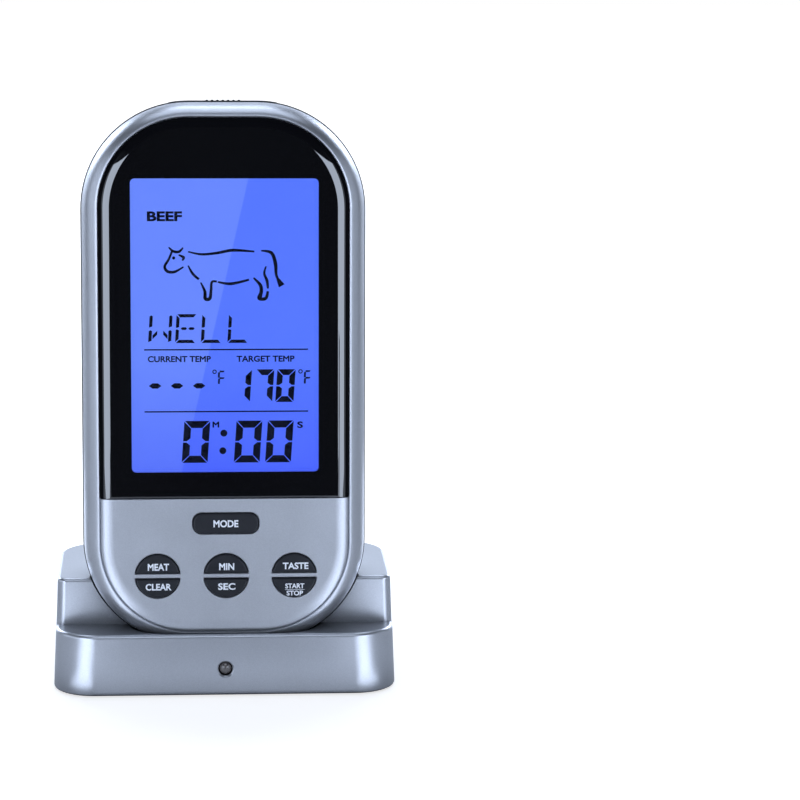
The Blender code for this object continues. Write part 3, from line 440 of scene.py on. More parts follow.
SILVER = painted_silver("painted_silver", 0.36).material
DOCK_SILVER = dock_silver()
GUNMETAL = gunmetal("gunmetal")
COARSE = gunmetal("coarse_gunmetal", 0.8, 0.09 * MM)
RAISED = gunmetal("raised_words", 0.35, 0.005 * MM)
WINDOW = window_black()
PANE = clear_pane()
KEY = satin_plastic("key_plastic", (0.013, 0.014, 0.018), 0.42)
KEY.node_tree.nodes["Principled BSDF"].inputs["Specular IOR Level"].default_value = 0.3
BLACK = satin_plastic("black_plastic", (0.012, 0.013, 0.015), 0.48)
WHITE = satin_plastic("white_plastic", (0.78, 0.78, 0.76), 0.5)
RUBBER = satin_plastic("rubber", (0.03, 0.03, 0.032), 0.8, 0.4 * MM, 0.02 * MM)
SILICONE = satin_plastic("silicone", (0.14, 0.14, 0.15), 0.65)
GUIDE = satin_plastic("light_guide", (0.72, 0.82, 0.98), 0.3)
STEEL = metal("plated_steel", (0.62, 0.62, 0.63), 0.28, (1.0, 6.0, 1.0))
CHROME = metal("chrome_collar", (0.78, 0.79, 0.80), 0.12)
# Near-black steel for the clip's pin and spring: painted shade where they show through the clip's slots
SHADE_DARKENED_STEEL = metal("steel_darkened_as_shade", (0.022, 0.022, 0.025), 0.38)
BRASS = metal("brass_wire", (0.78, 0.60, 0.30), 0.25)
PRINT = white_print()
INK = segment_ink()
DISPLAY = lit_display()
BOARD = circuit_board()
WRAP = cell_wrap()
LENS = smoked_lens()

SLOT_MATERIALS = {
    "silver_shell": SILVER, "gunmetal_shell": GUNMETAL, "key_plastic": KEY, "window_black": WINDOW,
    "lcd_glass": DISPLAY, "light_guide": GUIDE, "circuit_board": BOARD, "silicone": SILICONE,
    "foot_rubber": RUBBER, "steel": STEEL, "brass": BRASS, "battery_wrap": WRAP, "black_plastic": BLACK,
    "white_plastic": WHITE, "led_lens": LENS,
}


# ---------------------------------------------------------------- mesh helpers


def shade(mesh, degrees=35.0):
    """Smooth shading, with sharp edges where faces meet at more than the angle."""
    mesh.shade_smooth()
    mesh.set_sharp_from_angle(angle=math.radians(degrees))


def finish(mesh_builder, name, surface, degrees=35.0):
    """Turns a bmesh into a linked object with outward faces."""
    bmesh.ops.remove_doubles(mesh_builder, verts=mesh_builder.verts, dist=1e-7)
    bmesh.ops.recalc_face_normals(mesh_builder, faces=mesh_builder.faces)
    mesh = bpy.data.meshes.new(name)
    mesh_builder.to_mesh(mesh)
    mesh_builder.free()
    made = bpy.data.objects.new(name, mesh)
    bpy.context.scene.collection.objects.link(made)
    if surface is not None:
        mesh.materials.append(surface)
    shade(mesh, degrees)
    return made


def join_rings(mesh_builder, rings):
    """Skins a list of point rings of equal length, with a flat face on the first and the last."""
    rows = [[mesh_builder.verts.new(point) for point in ring] for ring in rings]
    count = len(rows[0])
    for lower, upper in zip(rows, rows[1:]):
        for index in range(count):
            after = (index + 1) % count
            mesh_builder.faces.new((lower[index], lower[after], upper[after], upper[index]))
    mesh_builder.faces.new(list(reversed(rows[0])))
    mesh_builder.faces.new(rows[-1])


def loft(name, rings, surface=None, degrees=35.0):
    mesh_builder = bmesh.new()
    join_rings(mesh_builder, rings)
    return finish(mesh_builder, name, surface, degrees)


def corner_arcs(centres, steps):
    """Points of four quarter circles, given as (x, y, radius), anticlockwise from the +x +y corner."""
    points = []
    for quarter, (x, y, radius) in enumerate(centres):
        for step in range(steps + 1):
            angle = math.pi / 2 * (quarter + step / steps)
            points.append((x + radius * math.cos(angle), y + radius * math.sin(angle)))
    return points


def rounded_rectangle(low, high, radius, steps=6):
    (x0, y0), (x1, y1) = low, high
    r = radius
    centres = [(x1 - r, y1 - r, r), (x0 + r, y1 - r, r), (x0 + r, y0 + r, r), (x1 - r, y0 + r, r)]
    return corner_arcs(centres, steps)


def ellipse(x, y, half_x, half_y, sides=36):
    turns = (2 * math.pi * index / sides for index in range(sides))
    return [(x + half_x * math.cos(turn), y + half_y * math.sin(turn)) for turn in turns]


def circle(x, y, radius, sides=40):
    return ellipse(x, y, radius, radius, sides)


def offset(outline, x, z):
    """An outline given in millimetres, moved to (x, z)."""
    return [(x + a * MM, z + b * MM) for a, b in outline]


def centred(x, half, low, high, radius, steps=6):
    """A rounded rectangle centred on x, from the height low to the height high."""
    return rounded_rectangle((x - half, low), (x + half, high), radius, steps)


def placed(outline, direction, along):
    """A flat outline set at one position along x, y or z."""
    points = []
    for pair in outline:
        point = list(pair)
        point.insert("xyz".index(direction), along)
        points.append(tuple(point))
    return points


def stack(name, direction, levels, surface=None, degrees=35.0):
    """A solid through flat outlines, given with their positions along x, y or z."""
    return loft(name, [placed(outline, direction, along) for outline, along in levels], surface, degrees)


def prism(name, outline, direction, low, high, surface=None):
    return stack(name, direction, [(outline, low), (outline, high)], surface)


def box(name, low, high, surface=None, radius=0.0, direction="z"):
    axis = "xyz".index(direction)
    a, b = [index for index in range(3) if index != axis]
    if radius:
        outline = rounded_rectangle((low[a], low[b]), (high[a], high[b]), radius, 4)
    else:
        outline = [(low[a], low[b]), (high[a], low[b]), (high[a], high[b]), (low[a], high[b])]
    return prism(name, outline, direction, low[axis], high[axis], surface)


def middle_box(name, half, depths, heights, surface=None, radius=0.0):
    """A box centred across the receiver, between two depths and heights; a radius rounds its outline."""
    low, high = (-half, depths[0], heights[0]), (half, depths[1], heights[1])
    return box(name, low, high, surface, radius, "y" if radius else "z")


def turned(name, centre, direction, profile, surface=None, sides=40, degrees=35.0):
    """A round piece from (radius, distance along the axis) pairs."""
    levels = [(circle(*centre, radius, sides), along) for radius, along in profile]
    return stack(name, direction, levels, surface, degrees)


def cut(target, cutters, operation="DIFFERENCE"):
    """Applies each cutter to the target and removes it. Moulded edges stay crisp, round stretches smooth."""
    for cutter in cutters if isinstance(cutters, (list, tuple)) else [cutters]:
        modifier = target.modifiers.new("cut", "BOOLEAN")
        modifier.operation = operation
        modifier.solver = "EXACT"
        modifier.object = cutter
        bpy.context.view_layer.update()
        evaluated = target.evaluated_get(bpy.context.evaluated_depsgraph_get())
        result = bpy.data.meshes.new_from_object(evaluated)
        target.modifiers.remove(modifier)
        target.data = result
        bpy.data.objects.remove(cutter, do_unlink=True)
    shade(target.data)
    return target


def join(target, additions):
    return cut(target, additions, "UNION")


def even_normals(piece):
    """Lets large flat faces set the shading where they meet the small faces of a round edge."""
    modifier = piece.modifiers.new("even_normals", "WEIGHTED_NORMAL")
    modifier.keep_sharp = True
    modifier.weight = 100
    return piece


def lean(piece):
    """Moves a piece from the receiver's own frame to the receiver's place."""
    piece.matrix_world = RECEIVER
    return piece


def settle_upright(piece, body, nodes=()):
    """Puts a finished piece on its body, standing for its CAD nodes."""
    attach(piece, body)
    if nodes:
        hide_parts(*nodes)
    return piece


def settle(piece, body, nodes=()):
    """The same, for a piece made in the receiver's own frame."""
    return settle_upright(lean(piece), body, nodes)


# ---------------------------------------------------------------- front of the receiver


def face_ring(side_inset, y, bottom_inset=None, top_inset=None, bottom_radius=None, top_radius=None):
    """The receiver's outline moved in by the insets, as a ring of points at depth y."""
    bottom_inset = side_inset if bottom_inset is None else bottom_inset
    top_inset = side_inset if top_inset is None else top_inset
    half = HALF_WIDTH - side_inset
    high = HEIGHT - top_inset
    rb = CORNER - side_inset if bottom_radius is None else bottom_radius
    rt = CORNER - side_inset if top_radius is None else top_radius
    centres = [(half - rt, high - rt, rt), (rt - half, high - rt, rt),
               (rb - half, bottom_inset + rb, rb), (half - rb, bottom_inset + rb, rb)]
    return [(x, y, z) for x, z in corner_arcs(centres, CORNER_STEPS)]


def arc_share(step, steps, degrees=90.0):
    """(1 - cos, sin) at an equal share of an arc: how far in and how far up a quarter round has gone."""
    angle = math.radians(degrees) * step / steps
    return 1 - math.cos(angle), math.sin(angle)


def front_ring(inset, y):
    """A ring of the front, whose band is a little narrower over the top than down the sides."""
    share = min(1.0, max(0.0, (inset - FRONT_INSET) / (BAND_EDGE - FRONT_INSET)))
    return face_ring(inset, y, None, inset - TOP_SHIFT * share)


def make_front_shell():
    """Silver front: the outer band, a fine notch, and the lower panel over its bevel, with the key holes."""
    rings = [face_ring(*mm(4.5, -5.9)), face_ring(*mm(3.0, -4.8)), face_ring(*mm(1.95, -2.5)),
             face_ring(FRONT_INSET + WALL, -SEAM_GAP), face_ring(FRONT_INSET + 0.2 * MM, -SEAM_GAP)]
    band_width = BAND_EDGE - FRONT_INSET
    band_rise = BAND_DEPTH - RIM_ROUND
    across_all, up_all = arc_share(1, 1, BAND_SWEEP)
    for step in range(19):
        across, up = arc_share(step, 18, BAND_SWEEP)
        inset = FRONT_INSET + band_width * across / across_all
        rings.append(front_ring(inset, -SEAM_GAP - RIM_ROUND - band_rise * up))
    edge_y = -SEAM_GAP - RIM_ROUND - band_rise * up_all
    edge_round = GROOVE_OUT - BAND_EDGE
    for step in range(1, 7):
        across, up = arc_share(step, 6)
        rings.append(front_ring(BAND_EDGE + edge_round * up, edge_y + edge_round * across))
    rings.append(front_ring(GROOVE_OUT + 0.06 * MM, -BAND_DEPTH + 0.3 * MM))
    for step in range(13):
        across, up = arc_share(step, 12)
        depth = FACE_DEPTH - PANEL_RISE * (1 - up)
        rings.append(front_ring(PANEL_START + PANEL_BEVEL * across, -depth))
    shell = loft("front_shell_fine", rings, SILVER)

    pocket = loft("pocket", [front_ring(GROOVE_OUT + 0.01 * MM, y) for y in mm(-12, -6.95)])
    cut(pocket, middle_box("below", FAR, (-PAST, 0.0), (-10 * MM, WINDOW_BOTTOM - 0.15 * MM)))
    cut(shell, pocket)
    cut(shell, middle_box("aperture", 23.9 * MM, (-PAST, 0.0), mm(38.2, 109.8), None, 1.5 * MM))
    for name, outline in key_outlines(KEY_GAP).items():
        wide = key_outlines(KEY_GAP + KEY_RIM)[name]
        wider = key_outlines(KEY_GAP + KEY_RIM + 0.02 * MM)[name]
        face = -FACE_DEPTH
        rim = [(outline, -3 * MM), (outline, face + KEY_RIM), (wide, face), (wider, face - 0.5 * MM)]
        cut(shell, stack("key_hole", "y", rim))
    return settle(even_normals(shell), "receiver", ["front_shell"])


def key_outlines(grow):
    """Outlines of the seven keys, by name, grown by a margin: the pill, then three split circles."""
    outlines = {}
    px, pz = PILL_CENTRE
    hx, hz = PILL_HALF[0] + grow, PILL_HALF[1] + grow
    outlines["mode_key"] = rounded_rectangle((px - hx, pz - hz), (px + hx, pz + hz), hz * 0.85, 10)
    names = (("meat_key", "clear_key"), ("min_key", "sec_key"), ("taste_key", "start_stop_key"))
    for centre_x, pair in zip(SPLIT_CENTRES, names):
        for name, side in zip(pair, (1, -1)):
            radius = SPLIT_RADIUS + grow
            start = math.asin((SPLIT_BAR / 2 - grow) / radius)
            points = []
            for step in range(37):
                angle = start + (math.pi - 2 * start) * step / 36
                points.append((centre_x + radius * math.cos(angle),
                               SPLIT_CENTRE_Z + side * radius * math.sin(angle)))
            outlines[name] = points
    return outlines


def make_keys():
    """Dark keys with softly rounded tops, each on its own body."""
    steps = [(-0.50, 0.03), (-0.34, 0.02), (-0.20, -0.03), (-0.09, -0.12), (-0.02, -0.26), (0.0, -0.42)]
    steps = [(grow * MM, -KEY_TOP - rise * MM) for grow, rise in steps]
    # Below the panel the key widens to the flange that keeps it in
    steps += [mm(0.0, -7.2), mm(0.35, -7.1), mm(0.35, -6.3)]
    for name in key_outlines(0.0):
        levels = [(key_outlines(grow)[name], y) for grow, y in steps]
        key = stack(name + "_fine", "y", levels, KEY, 50.0)
        settle(even_normals(key), name, [name])


def make_window():
    """The glossy black lens over the display: up beside the band and over a broad bevel to the flat front."""
    start = GROOVE_OUT + 0.05 * MM
    rings = [front_ring(start, -6.98 * MM)]
    for step in range(15):
        across, up = arc_share(step, 14)
        depth = BAND_DEPTH + (FACE_DEPTH - BAND_DEPTH) * up
        rings.append(front_ring(start + (GROOVE_IN + ISLAND_BEVEL - start) * across, -depth))
    window = loft("window_fine", rings, WINDOW)
    bottom = [mm(-20, 35.6), mm(-8.99, 35.5)]
    edge_round = 0.35 * MM
    for step in range(1, 7):
        across, up = arc_share(step, 6)
        bottom.append((-FACE_DEPTH + edge_round * across, WINDOW_BOTTOM + edge_round * (1 - up)))
    bottom += [(0.0, WINDOW_BOTTOM), mm(0.0, -10), mm(-20, -10)]
    cut(window, prism("below", bottom, "x", -FAR, FAR))
    view = rounded_rectangle(VIEW_LOW, VIEW_HIGH, VIEW_CORNER)
    cut(window, prism("view", view, "y", -PAST, 0.0))
    settle(even_normals(window), "receiver", ["display_window"])

    hair = 0.01 * MM
    low = [corner + hair for corner in VIEW_LOW]
    high = [corner - hair for corner in VIEW_HIGH]
    pane = prism("window_pane", rounded_rectangle(low, high, VIEW_CORNER), "y", -8.98 * MM, -7.3 * MM, PANE)
    settle(pane, "receiver")


# ---------------------------------------------------------------- display


def flat_shapes(name, polygons, front_y, thick, surface, body):
    """Thin printed shapes, given as outlines in x and z, standing on a plane."""
    mesh_builder = bmesh.new()
    for outline in polygons:
        join_rings(mesh_builder, [placed(outline, "y", front_y), placed(outline, "y", front_y + thick)])
    return settle(finish(mesh_builder, name, surface), body)


def leaning(outline, bottom, slant):
    """Slants an outline to the right with height."""
    return [(x + (z - bottom) * slant, z) for x, z in outline]


def digit(x, z, width, height, stroke, lit, slant=0.07, gap=0.16 * MM):
    """The lit bars of a digit whose lower left corner is (x, z), lettered clockwise from the top."""
    w, h, t, g = width, height, stroke, gap
    mid = h / 2
    bars = {
        "a": [(g, h), (w - g, h), (w - t - g * 0.4, h - t), (t + g * 0.4, h - t)],
        "b": [(w, h - g), (w - t, h - t - g), (w - t, mid + t / 2), (w - t / 2, mid + g), (w, mid + g)],
        "c": [(w, g), (w - t, t + g), (w - t, mid - t / 2), (w - t / 2, mid - g), (w, mid - g)],
        "d": [(g, 0.0), (w - g, 0.0), (w - t - g * 0.4, t), (t + g * 0.4, t)],
        "e": [(0.0, g), (t, t + g), (t, mid - t / 2), (t / 2, mid - g), (0.0, mid - g)],
        "f": [(0.0, h - g), (t, h - t - g), (t, mid + t / 2), (t / 2, mid + g), (0.0, mid + g)],
    }
    return [leaning([(x + a, z + b) for a, b in bars[name]], z, slant) for name in lit]


def stroke_shape(points, widths, steps=6):
    """A smooth brush stroke through points, swelling and thinning with the widths, as an outline."""
    points = [Vector(point) for point in points]
    route, spans = [], []
    for index in range(len(points) - 1):
        before = points[max(index - 1, 0)]
        start, end = points[index], points[index + 1]
        after = points[min(index + 2, len(points) - 1)]
        bend = 2 * before - 5 * start + 4 * end - after
        twist = 3 * start - before - 3 * end + after
        for step in range(steps):
            t = step / steps
            route.append(0.5 * (2 * start + (end - before) * t + bend * t ** 2 + twist * t ** 3))
            spans.append(widths[index] + (widths[index + 1] - widths[index]) * t)
    route.append(points[-1])
    spans.append(widths[-1])
    left, right = [], []
    for index, point in enumerate(route):
        ahead = route[min(index + 1, len(route) - 1)] - route[max(index - 1, 0)]
        side = Vector((-ahead.y, ahead.x)).normalized() * spans[index] / 2
        left.append(tuple(point + side))
        right.append(tuple(point - side))
    return left + right[::-1]


def cattle_outline():
    """A plain standing cow in a few strokes: points on the display and widths, both given in millimetres."""
    strokes = [
        ([(-8.0, 90.3), (-5.0, 89.7), (-1.5, 90.0), (2.0, 90.6), (6.8, 90.3)], [0.2, 0.35, 0.4, 0.45, 0.25]),
        ([(8.3, 90.5), (10.6, 90.0), (11.5, 87.6), (11.7, 85.0), (12.6, 83.2)], [0.2, 0.5, 0.55, 0.4, 0.35]),
        ([(12.0, 84.2), (12.9, 82.6)], [0.4, 1.0]),
        ([(-12.3, 91.3), (-11.3, 90.4), (-10.0, 90.3), (-9.1, 91.2)], [0.2, 0.4, 0.4, 0.2]),
        ([(-11.6, 90.3), (-12.3, 88.6), (-13.2, 87.0), (-12.6, 85.9), (-11.0, 85.8), (-9.0, 86.9)],
         [0.3, 0.35, 0.4, 0.45, 0.4, 0.2]),
        ([(-10.1, 89.6), (-9.0, 89.0), (-9.3, 88.3)], [0.2, 0.45, 0.2]),
        ([(-8.0, 87.2), (-7.0, 85.4), (-5.6, 84.1)], [0.2, 0.4, 0.35]),
        ([(-5.2, 83.4), (-4.3, 81.4), (-4.2, 79.8), (-3.2, 79.8), (-2.9, 81.6), (-2.7, 83.5), (-1.6, 83.6)],
         [0.2, 0.45, 0.55, 0.5, 0.4, 0.35, 0.3]),
        ([(-1.4, 83.5), (1.6, 83.1), (5.6, 84.0)], [0.25, 0.45, 0.3]),
        ([(6.6, 84.4), (8.1, 82.8), (8.3, 81.2), (7.8, 79.8), (9.3, 79.8), (9.8, 81.4)],
         [0.25, 0.5, 0.55, 0.5, 0.5, 0.35]),
        ([(9.8, 82.0), (9.6, 83.8), (9.0, 85.4), (9.4, 87.0)], [0.3, 0.45, 0.35, 0.2]),
    ]
    shapes = []
    for points, widths in strokes:
        widths = [1.5 * width * MM for width in widths]
        shapes.append(stroke_shape([(x * MM, z * MM) for x, z in points], widths))
    shapes.append(circle(-11.2 * MM, 88.9 * MM, 0.36 * MM, 12))
    return shapes


def word_bars():
    """The doneness word in slanted bars, each letter in its own cell."""
    stroke, height, bottom, slant = 0.72 * MM, 6.5 * MM, 69.8 * MM, 0.06
    shapes = []
    for x, lit in ((-11.0 * MM, "afed"), (-5.25 * MM, "fed"), (0.7 * MM, "fed")):
        shapes += digit(x, bottom, 4.6 * MM, height, stroke, lit, slant, gap=0.2 * MM)
    # The two short middle bars of the E
    middle = bottom + height / 2
    for x in mm(-9.9, -8.2):
        dash = [(0, 0), (0.3, 0.3), (1.1, 0.3), (1.4, 0), (1.1, -0.3), (0.3, -0.3)]
        shapes.append(leaning(offset(dash, x, middle), bottom, slant))
    # The W: four upright bars and two short slanting feet
    for x in mm(-17.0, -12.6):
        for low, high in ((0.25, 2.95), (3.5, 6.25)):
            z0, z1 = bottom + low * MM, bottom + high * MM
            shoulder = z1 - 0.25 * MM
            bar = [(x, z0), (x + stroke, z0 + 0.25 * MM), (x + stroke, shoulder), (x + stroke / 2, z1),
                   (x, shoulder)]
            shapes.append(leaning(bar, bottom, slant))
    for x0, x1 in ((-16.1, -15.1), (-12.75, -13.75)):
        foot = [(x0, 0.9), (x0, 1.8), (x1, 2.8), (x1, 1.9)]
        shapes.append(leaning(offset(foot, 0.0, bottom), bottom, slant))
    return shapes


def degree_sign(x, z):
    """A small ring and an F in short bars."""
    outer = circle(x, z, 0.5 * MM, 20)
    shapes = []
    for index in range(20):
        after = (index + 1) % 20
        inner = [(x + (px - x) * 0.55, z + (pz - z) * 0.55) for px, pz in (outer[after], outer[index])]
        shapes.append([outer[index], outer[after], *inner])
    left = x + 0.75 * MM
    bars = []
    for low, high in ((-2.75, -1.55), (-1.35, -0.15)):
        bars.append([(0, low), (0.42, low), (0.48, high), (0.06, high)])
    for level in (0.05, -1.45):
        bars.append([(0.35, level - 0.21), (1.3, level - 0.17), (1.5, level + 0.17), (0.45, level + 0.21)])
    return shapes + [offset(bar, left, z) for bar in bars]


def text_mesh(name, words, centre, height, width, bold, thick, turned_back=False, quarter_turn=False):
    """Letters as a thin solid of a given height and width, centred at (x, z), facing front or back."""
    curve = bpy.data.curves.new(name, "FONT")
    curve.body = words
    curve.align_x = "CENTER"
    extrusion = 0.02
    curve.extrude = extrusion
    curve.bevel_depth = bold
    curve.bevel_resolution = 0
    curve.resolution_u = 4
    text = bpy.data.objects.new(name + "_text", curve)
    bpy.context.scene.collection.objects.link(text)
    bpy.context.view_layer.update()
    evaluated = text.evaluated_get(bpy.context.evaluated_depsgraph_get())
    mesh = bpy.data.meshes.new_from_object(evaluated)
    bpy.data.objects.remove(text, do_unlink=True)
    xs = [vertex.co.x for vertex in mesh.vertices]
    ys = [vertex.co.y for vertex in mesh.vertices]
    left, right, foot, head = min(xs), max(xs), min(ys), max(ys)
    mesh.transform(Matrix.Translation((-(left + right) / 2, -(foot + head) / 2, 0.0)))
    depth_scale = thick / (2 * (extrusion + bold))
    mesh.transform(Matrix.Diagonal((width / (right - left), height / (head - foot), depth_scale, 1.0)))
    if quarter_turn:
        mesh.transform(Matrix.Rotation(math.radians(90.0), 4, "Z"))
    mesh.transform(Matrix.Rotation(math.radians(90.0), 4, "X"))
    if turned_back:
        mesh.transform(Matrix.Rotation(math.pi, 4, "Z"))
    mesh.transform(Matrix.Translation((centre[0], 0.0, centre[1])))
    made = bpy.data.objects.new(name, mesh)
    bpy.context.scene.collection.objects.link(made)
    return made


def label(name, words, centre, height, width, y, surface, body, slot, bold=0.02, thick=0.03 * MM, **turns):
    """Letters printed or raised on a surface at depth y."""
    made = text_mesh(name, words, centre, height, width, bold, thick, **turns)
    made.data.transform(Matrix.Translation((0.0, y, 0.0)))
    made.data.materials.clear()
    made.data.materials.append(surface)
    shade(made.data)
    return settle(made, body)


def make_display():
    """The lit glass, and on it every dark shape of the reading."""
    depths = (-GLASS_FRONT, -5.2 * MM)
    glass = middle_box("lcd_glass_fine", 23.6 * MM, depths, mm(38.5, 109.5), DISPLAY, 1.0 * MM)
    settle(glass, "receiver", ["lcd_glass"])
    face = -GLASS_FRONT - 0.03 * MM
    thick = 0.025 * MM
    rule = [(-17.9, 0), (18.8, 0), (18.8, 0.3), (-17.9, 0.3)]
    rules = [offset(rule, 0.0, z) for z in mm(68.15, 54.15)]
    dash = [(-1.4, 0), (-0.6, 0.6), (0.6, 0.6), (1.4, 0), (0.6, -0.6), (-0.6, -0.6)]
    dashes = [offset(dash, x, 60.15 * MM) for x in mm(-15.5, -10.6, -5.65)]
    target = []
    for x, lit in ((1.6 * MM, "bc"), (6.6 * MM, "abc"), (11.4 * MM, "abcdef")):
        target += digit(x, 56.4 * MM, 4.1 * MM, 7.4 * MM, stroke=1.3 * MM, lit=lit)
    clock = []
    for x in mm(-9.65, 2.05, 9.1):
        clock += digit(x, 42.7 * MM, 5.8 * MM, 9.5 * MM, stroke=1.6 * MM, lit="abcdef")
    clock += [circle(-0.15 * MM, 49.4 * MM, 0.78 * MM, 24), circle(-0.4 * MM, 45.4 * MM, 0.78 * MM, 24)]
    groups = {
        "reading_rules": rules, "reading_dashes": dashes, "reading_target": target, "reading_clock": clock,
        "reading_word": word_bars(), "reading_cattle": cattle_outline(),
        "reading_degrees": degree_sign(-2.2 * MM, 63.3 * MM) + degree_sign(17.1 * MM, 63.3 * MM),
    }
    for name, shapes in groups.items():
        flat_shapes(name, shapes, face, thick, INK, "receiver")
    words = [
        ("word_kind", "BEEF", (-13.2, 98.2), 2.2, 7.8, 0.04),
        ("word_current", "CURRENT TEMP", (-10.05, 66.2), 1.4, 14.1, 0.03),
        ("word_target", "TARGET TEMP", (9.25, 66.2), 1.4, 13.0, 0.03),
        ("word_minutes", "M", (-1.95, 51.35), 1.35, 1.5, 0.035),
        ("word_seconds", "S", (17.0, 51.2), 1.5, 1.3, 0.035),
    ]
    for name, text, (x, z), height, width, bold in words:
        label(name, text, (x * MM, z * MM), height * MM, width * MM, face, INK, "receiver", "lcd_glass", bold)


def make_key_labels():
    """The white words on the keys, each riding its own key."""
    top = -KEY_TOP - 0.035 * MM
    words = [
        ("mode_label", "MODE", (0.2, 29.1), 1.65, 5.6, "mode_key"),
        ("meat_label", "MEAT", (-15.0, 19.3), 1.6, 4.8, "meat_key"),
        ("clear_label", "CLEAR", (-15.0, 14.75), 1.55, 5.8, "clear_key"),
        ("min_label", "MIN", (0.35, 19.3), 1.6, 3.4, "min_key"),
        ("sec_label", "SEC", (0.35, 14.75), 1.55, 3.9, "sec_key"),
        ("taste_label", "TASTE", (15.9, 19.35), 1.55, 5.8, "taste_key"),
        ("start_label", "START", (15.7, 14.75), 1.15, 4.3, "start_stop_key"),
        ("stop_label", "STOP", (15.7, 13.1), 1.15, 3.7, "start_stop_key"),
    ]
    for name, text, (x, z), height, width, body in words:
        label(name, text, (x * MM, z * MM), height * MM, width * MM, top, PRINT, body, "white_plastic", 0.03)
    bar = [mm(13.5, 13.88), mm(17.9, 13.88), mm(17.9, 13.97), mm(13.5, 13.97)]
    flat_shapes("start_stop_bar", [bar], top - 0.01 * MM, 0.04 * MM, PRINT, "start_stop_key")


# ---------------------------------------------------------------- back of the receiver


def rear_rings(inward=0.0, detail=1.0):
    """Over the rear band, the step line and the dome to the flat back, moved inward by the given distance."""
    rings = []
    band_steps, dome_steps = round(16 * detail), round(20 * detail)
    across_all, _ = arc_share(1, 1, REAR_SWEEP)
    for step in range(band_steps + 1):
        across, up = arc_share(step, band_steps, REAR_SWEEP)
        depth = (REAR_BAND_DEPTH - inward - SEAM_GAP) * up
        rings.append(face_ring(REAR_BAND_INSET * across / across_all * 0.97 + inward, SEAM_GAP + depth))
    if inward == 0.0:
        line_floor = REAR_BAND_DEPTH - 0.35 * MM
        rings.append(face_ring(REAR_BAND_INSET + 0.12 * MM, REAR_BAND_DEPTH - 0.12 * MM))
        rings.append(face_ring(REAR_BAND_INSET + 0.2 * MM, line_floor))
        rings.append(face_ring(DOME_INSET - 0.05 * MM, line_floor))
    edge = DOME_INSET + inward
    start = CORNER - DOME_INSET - inward
    for step in range(1, dome_steps + 1):
        across, up = arc_share(step, dome_steps)
        depth = REAR_BAND_DEPTH + (REAR_DEPTH - REAR_BAND_DEPTH) * up - inward
        side, bottom, top = (edge + reach * across for reach in (DOME_SIDE, DOME_BOTTOM, DOME_TOP))
        radii = [start + (end - inward - start) * across for end in (DOME_END_CORNER, DOME_END_CORNER_TOP)]
        rings.append(face_ring(side, depth, bottom, top, *radii))
    return rings


def flared(name, outline, grown, deep, flare):
    """A cutter that opens out as it reaches the flat back, so that the hole's rim has a small chamfer."""
    face = REAR_DEPTH
    levels = [(outline, deep), (outline, face - flare), (grown, face), (grown, face + 8 * MM)]
    return stack(name, "y", levels)


def vent_cutters(side, z):
    """An oval dish whose floor slopes in towards its top and outer side, and the slit at the deep end."""
    x = side * VENT_X
    oval = ellipse(x, z, *mm(2.6, 1.3))
    rim = ellipse(x, z, *mm(2.75, 1.45))
    middle_y = REAR_DEPTH - 1.0 * MM
    floor = [(px, middle_y - 0.4 * (pz - z) - 0.1 * (side * px - VENT_X), pz) for px, pz in oval]
    dish = loft("dish", [floor, placed(oval, "y", REAR_DEPTH - 0.12 * MM), placed(rim, "y", REAR_DEPTH),
                         placed(rim, "y", REAR_DEPTH + 6 * MM)])
    slit = centred(x, 1.7 * MM, z + 0.2 * MM, z + 0.95 * MM, 0.3 * MM)
    return [dish, prism("slit", slit, "y", 4 * MM, 11.9 * MM)]


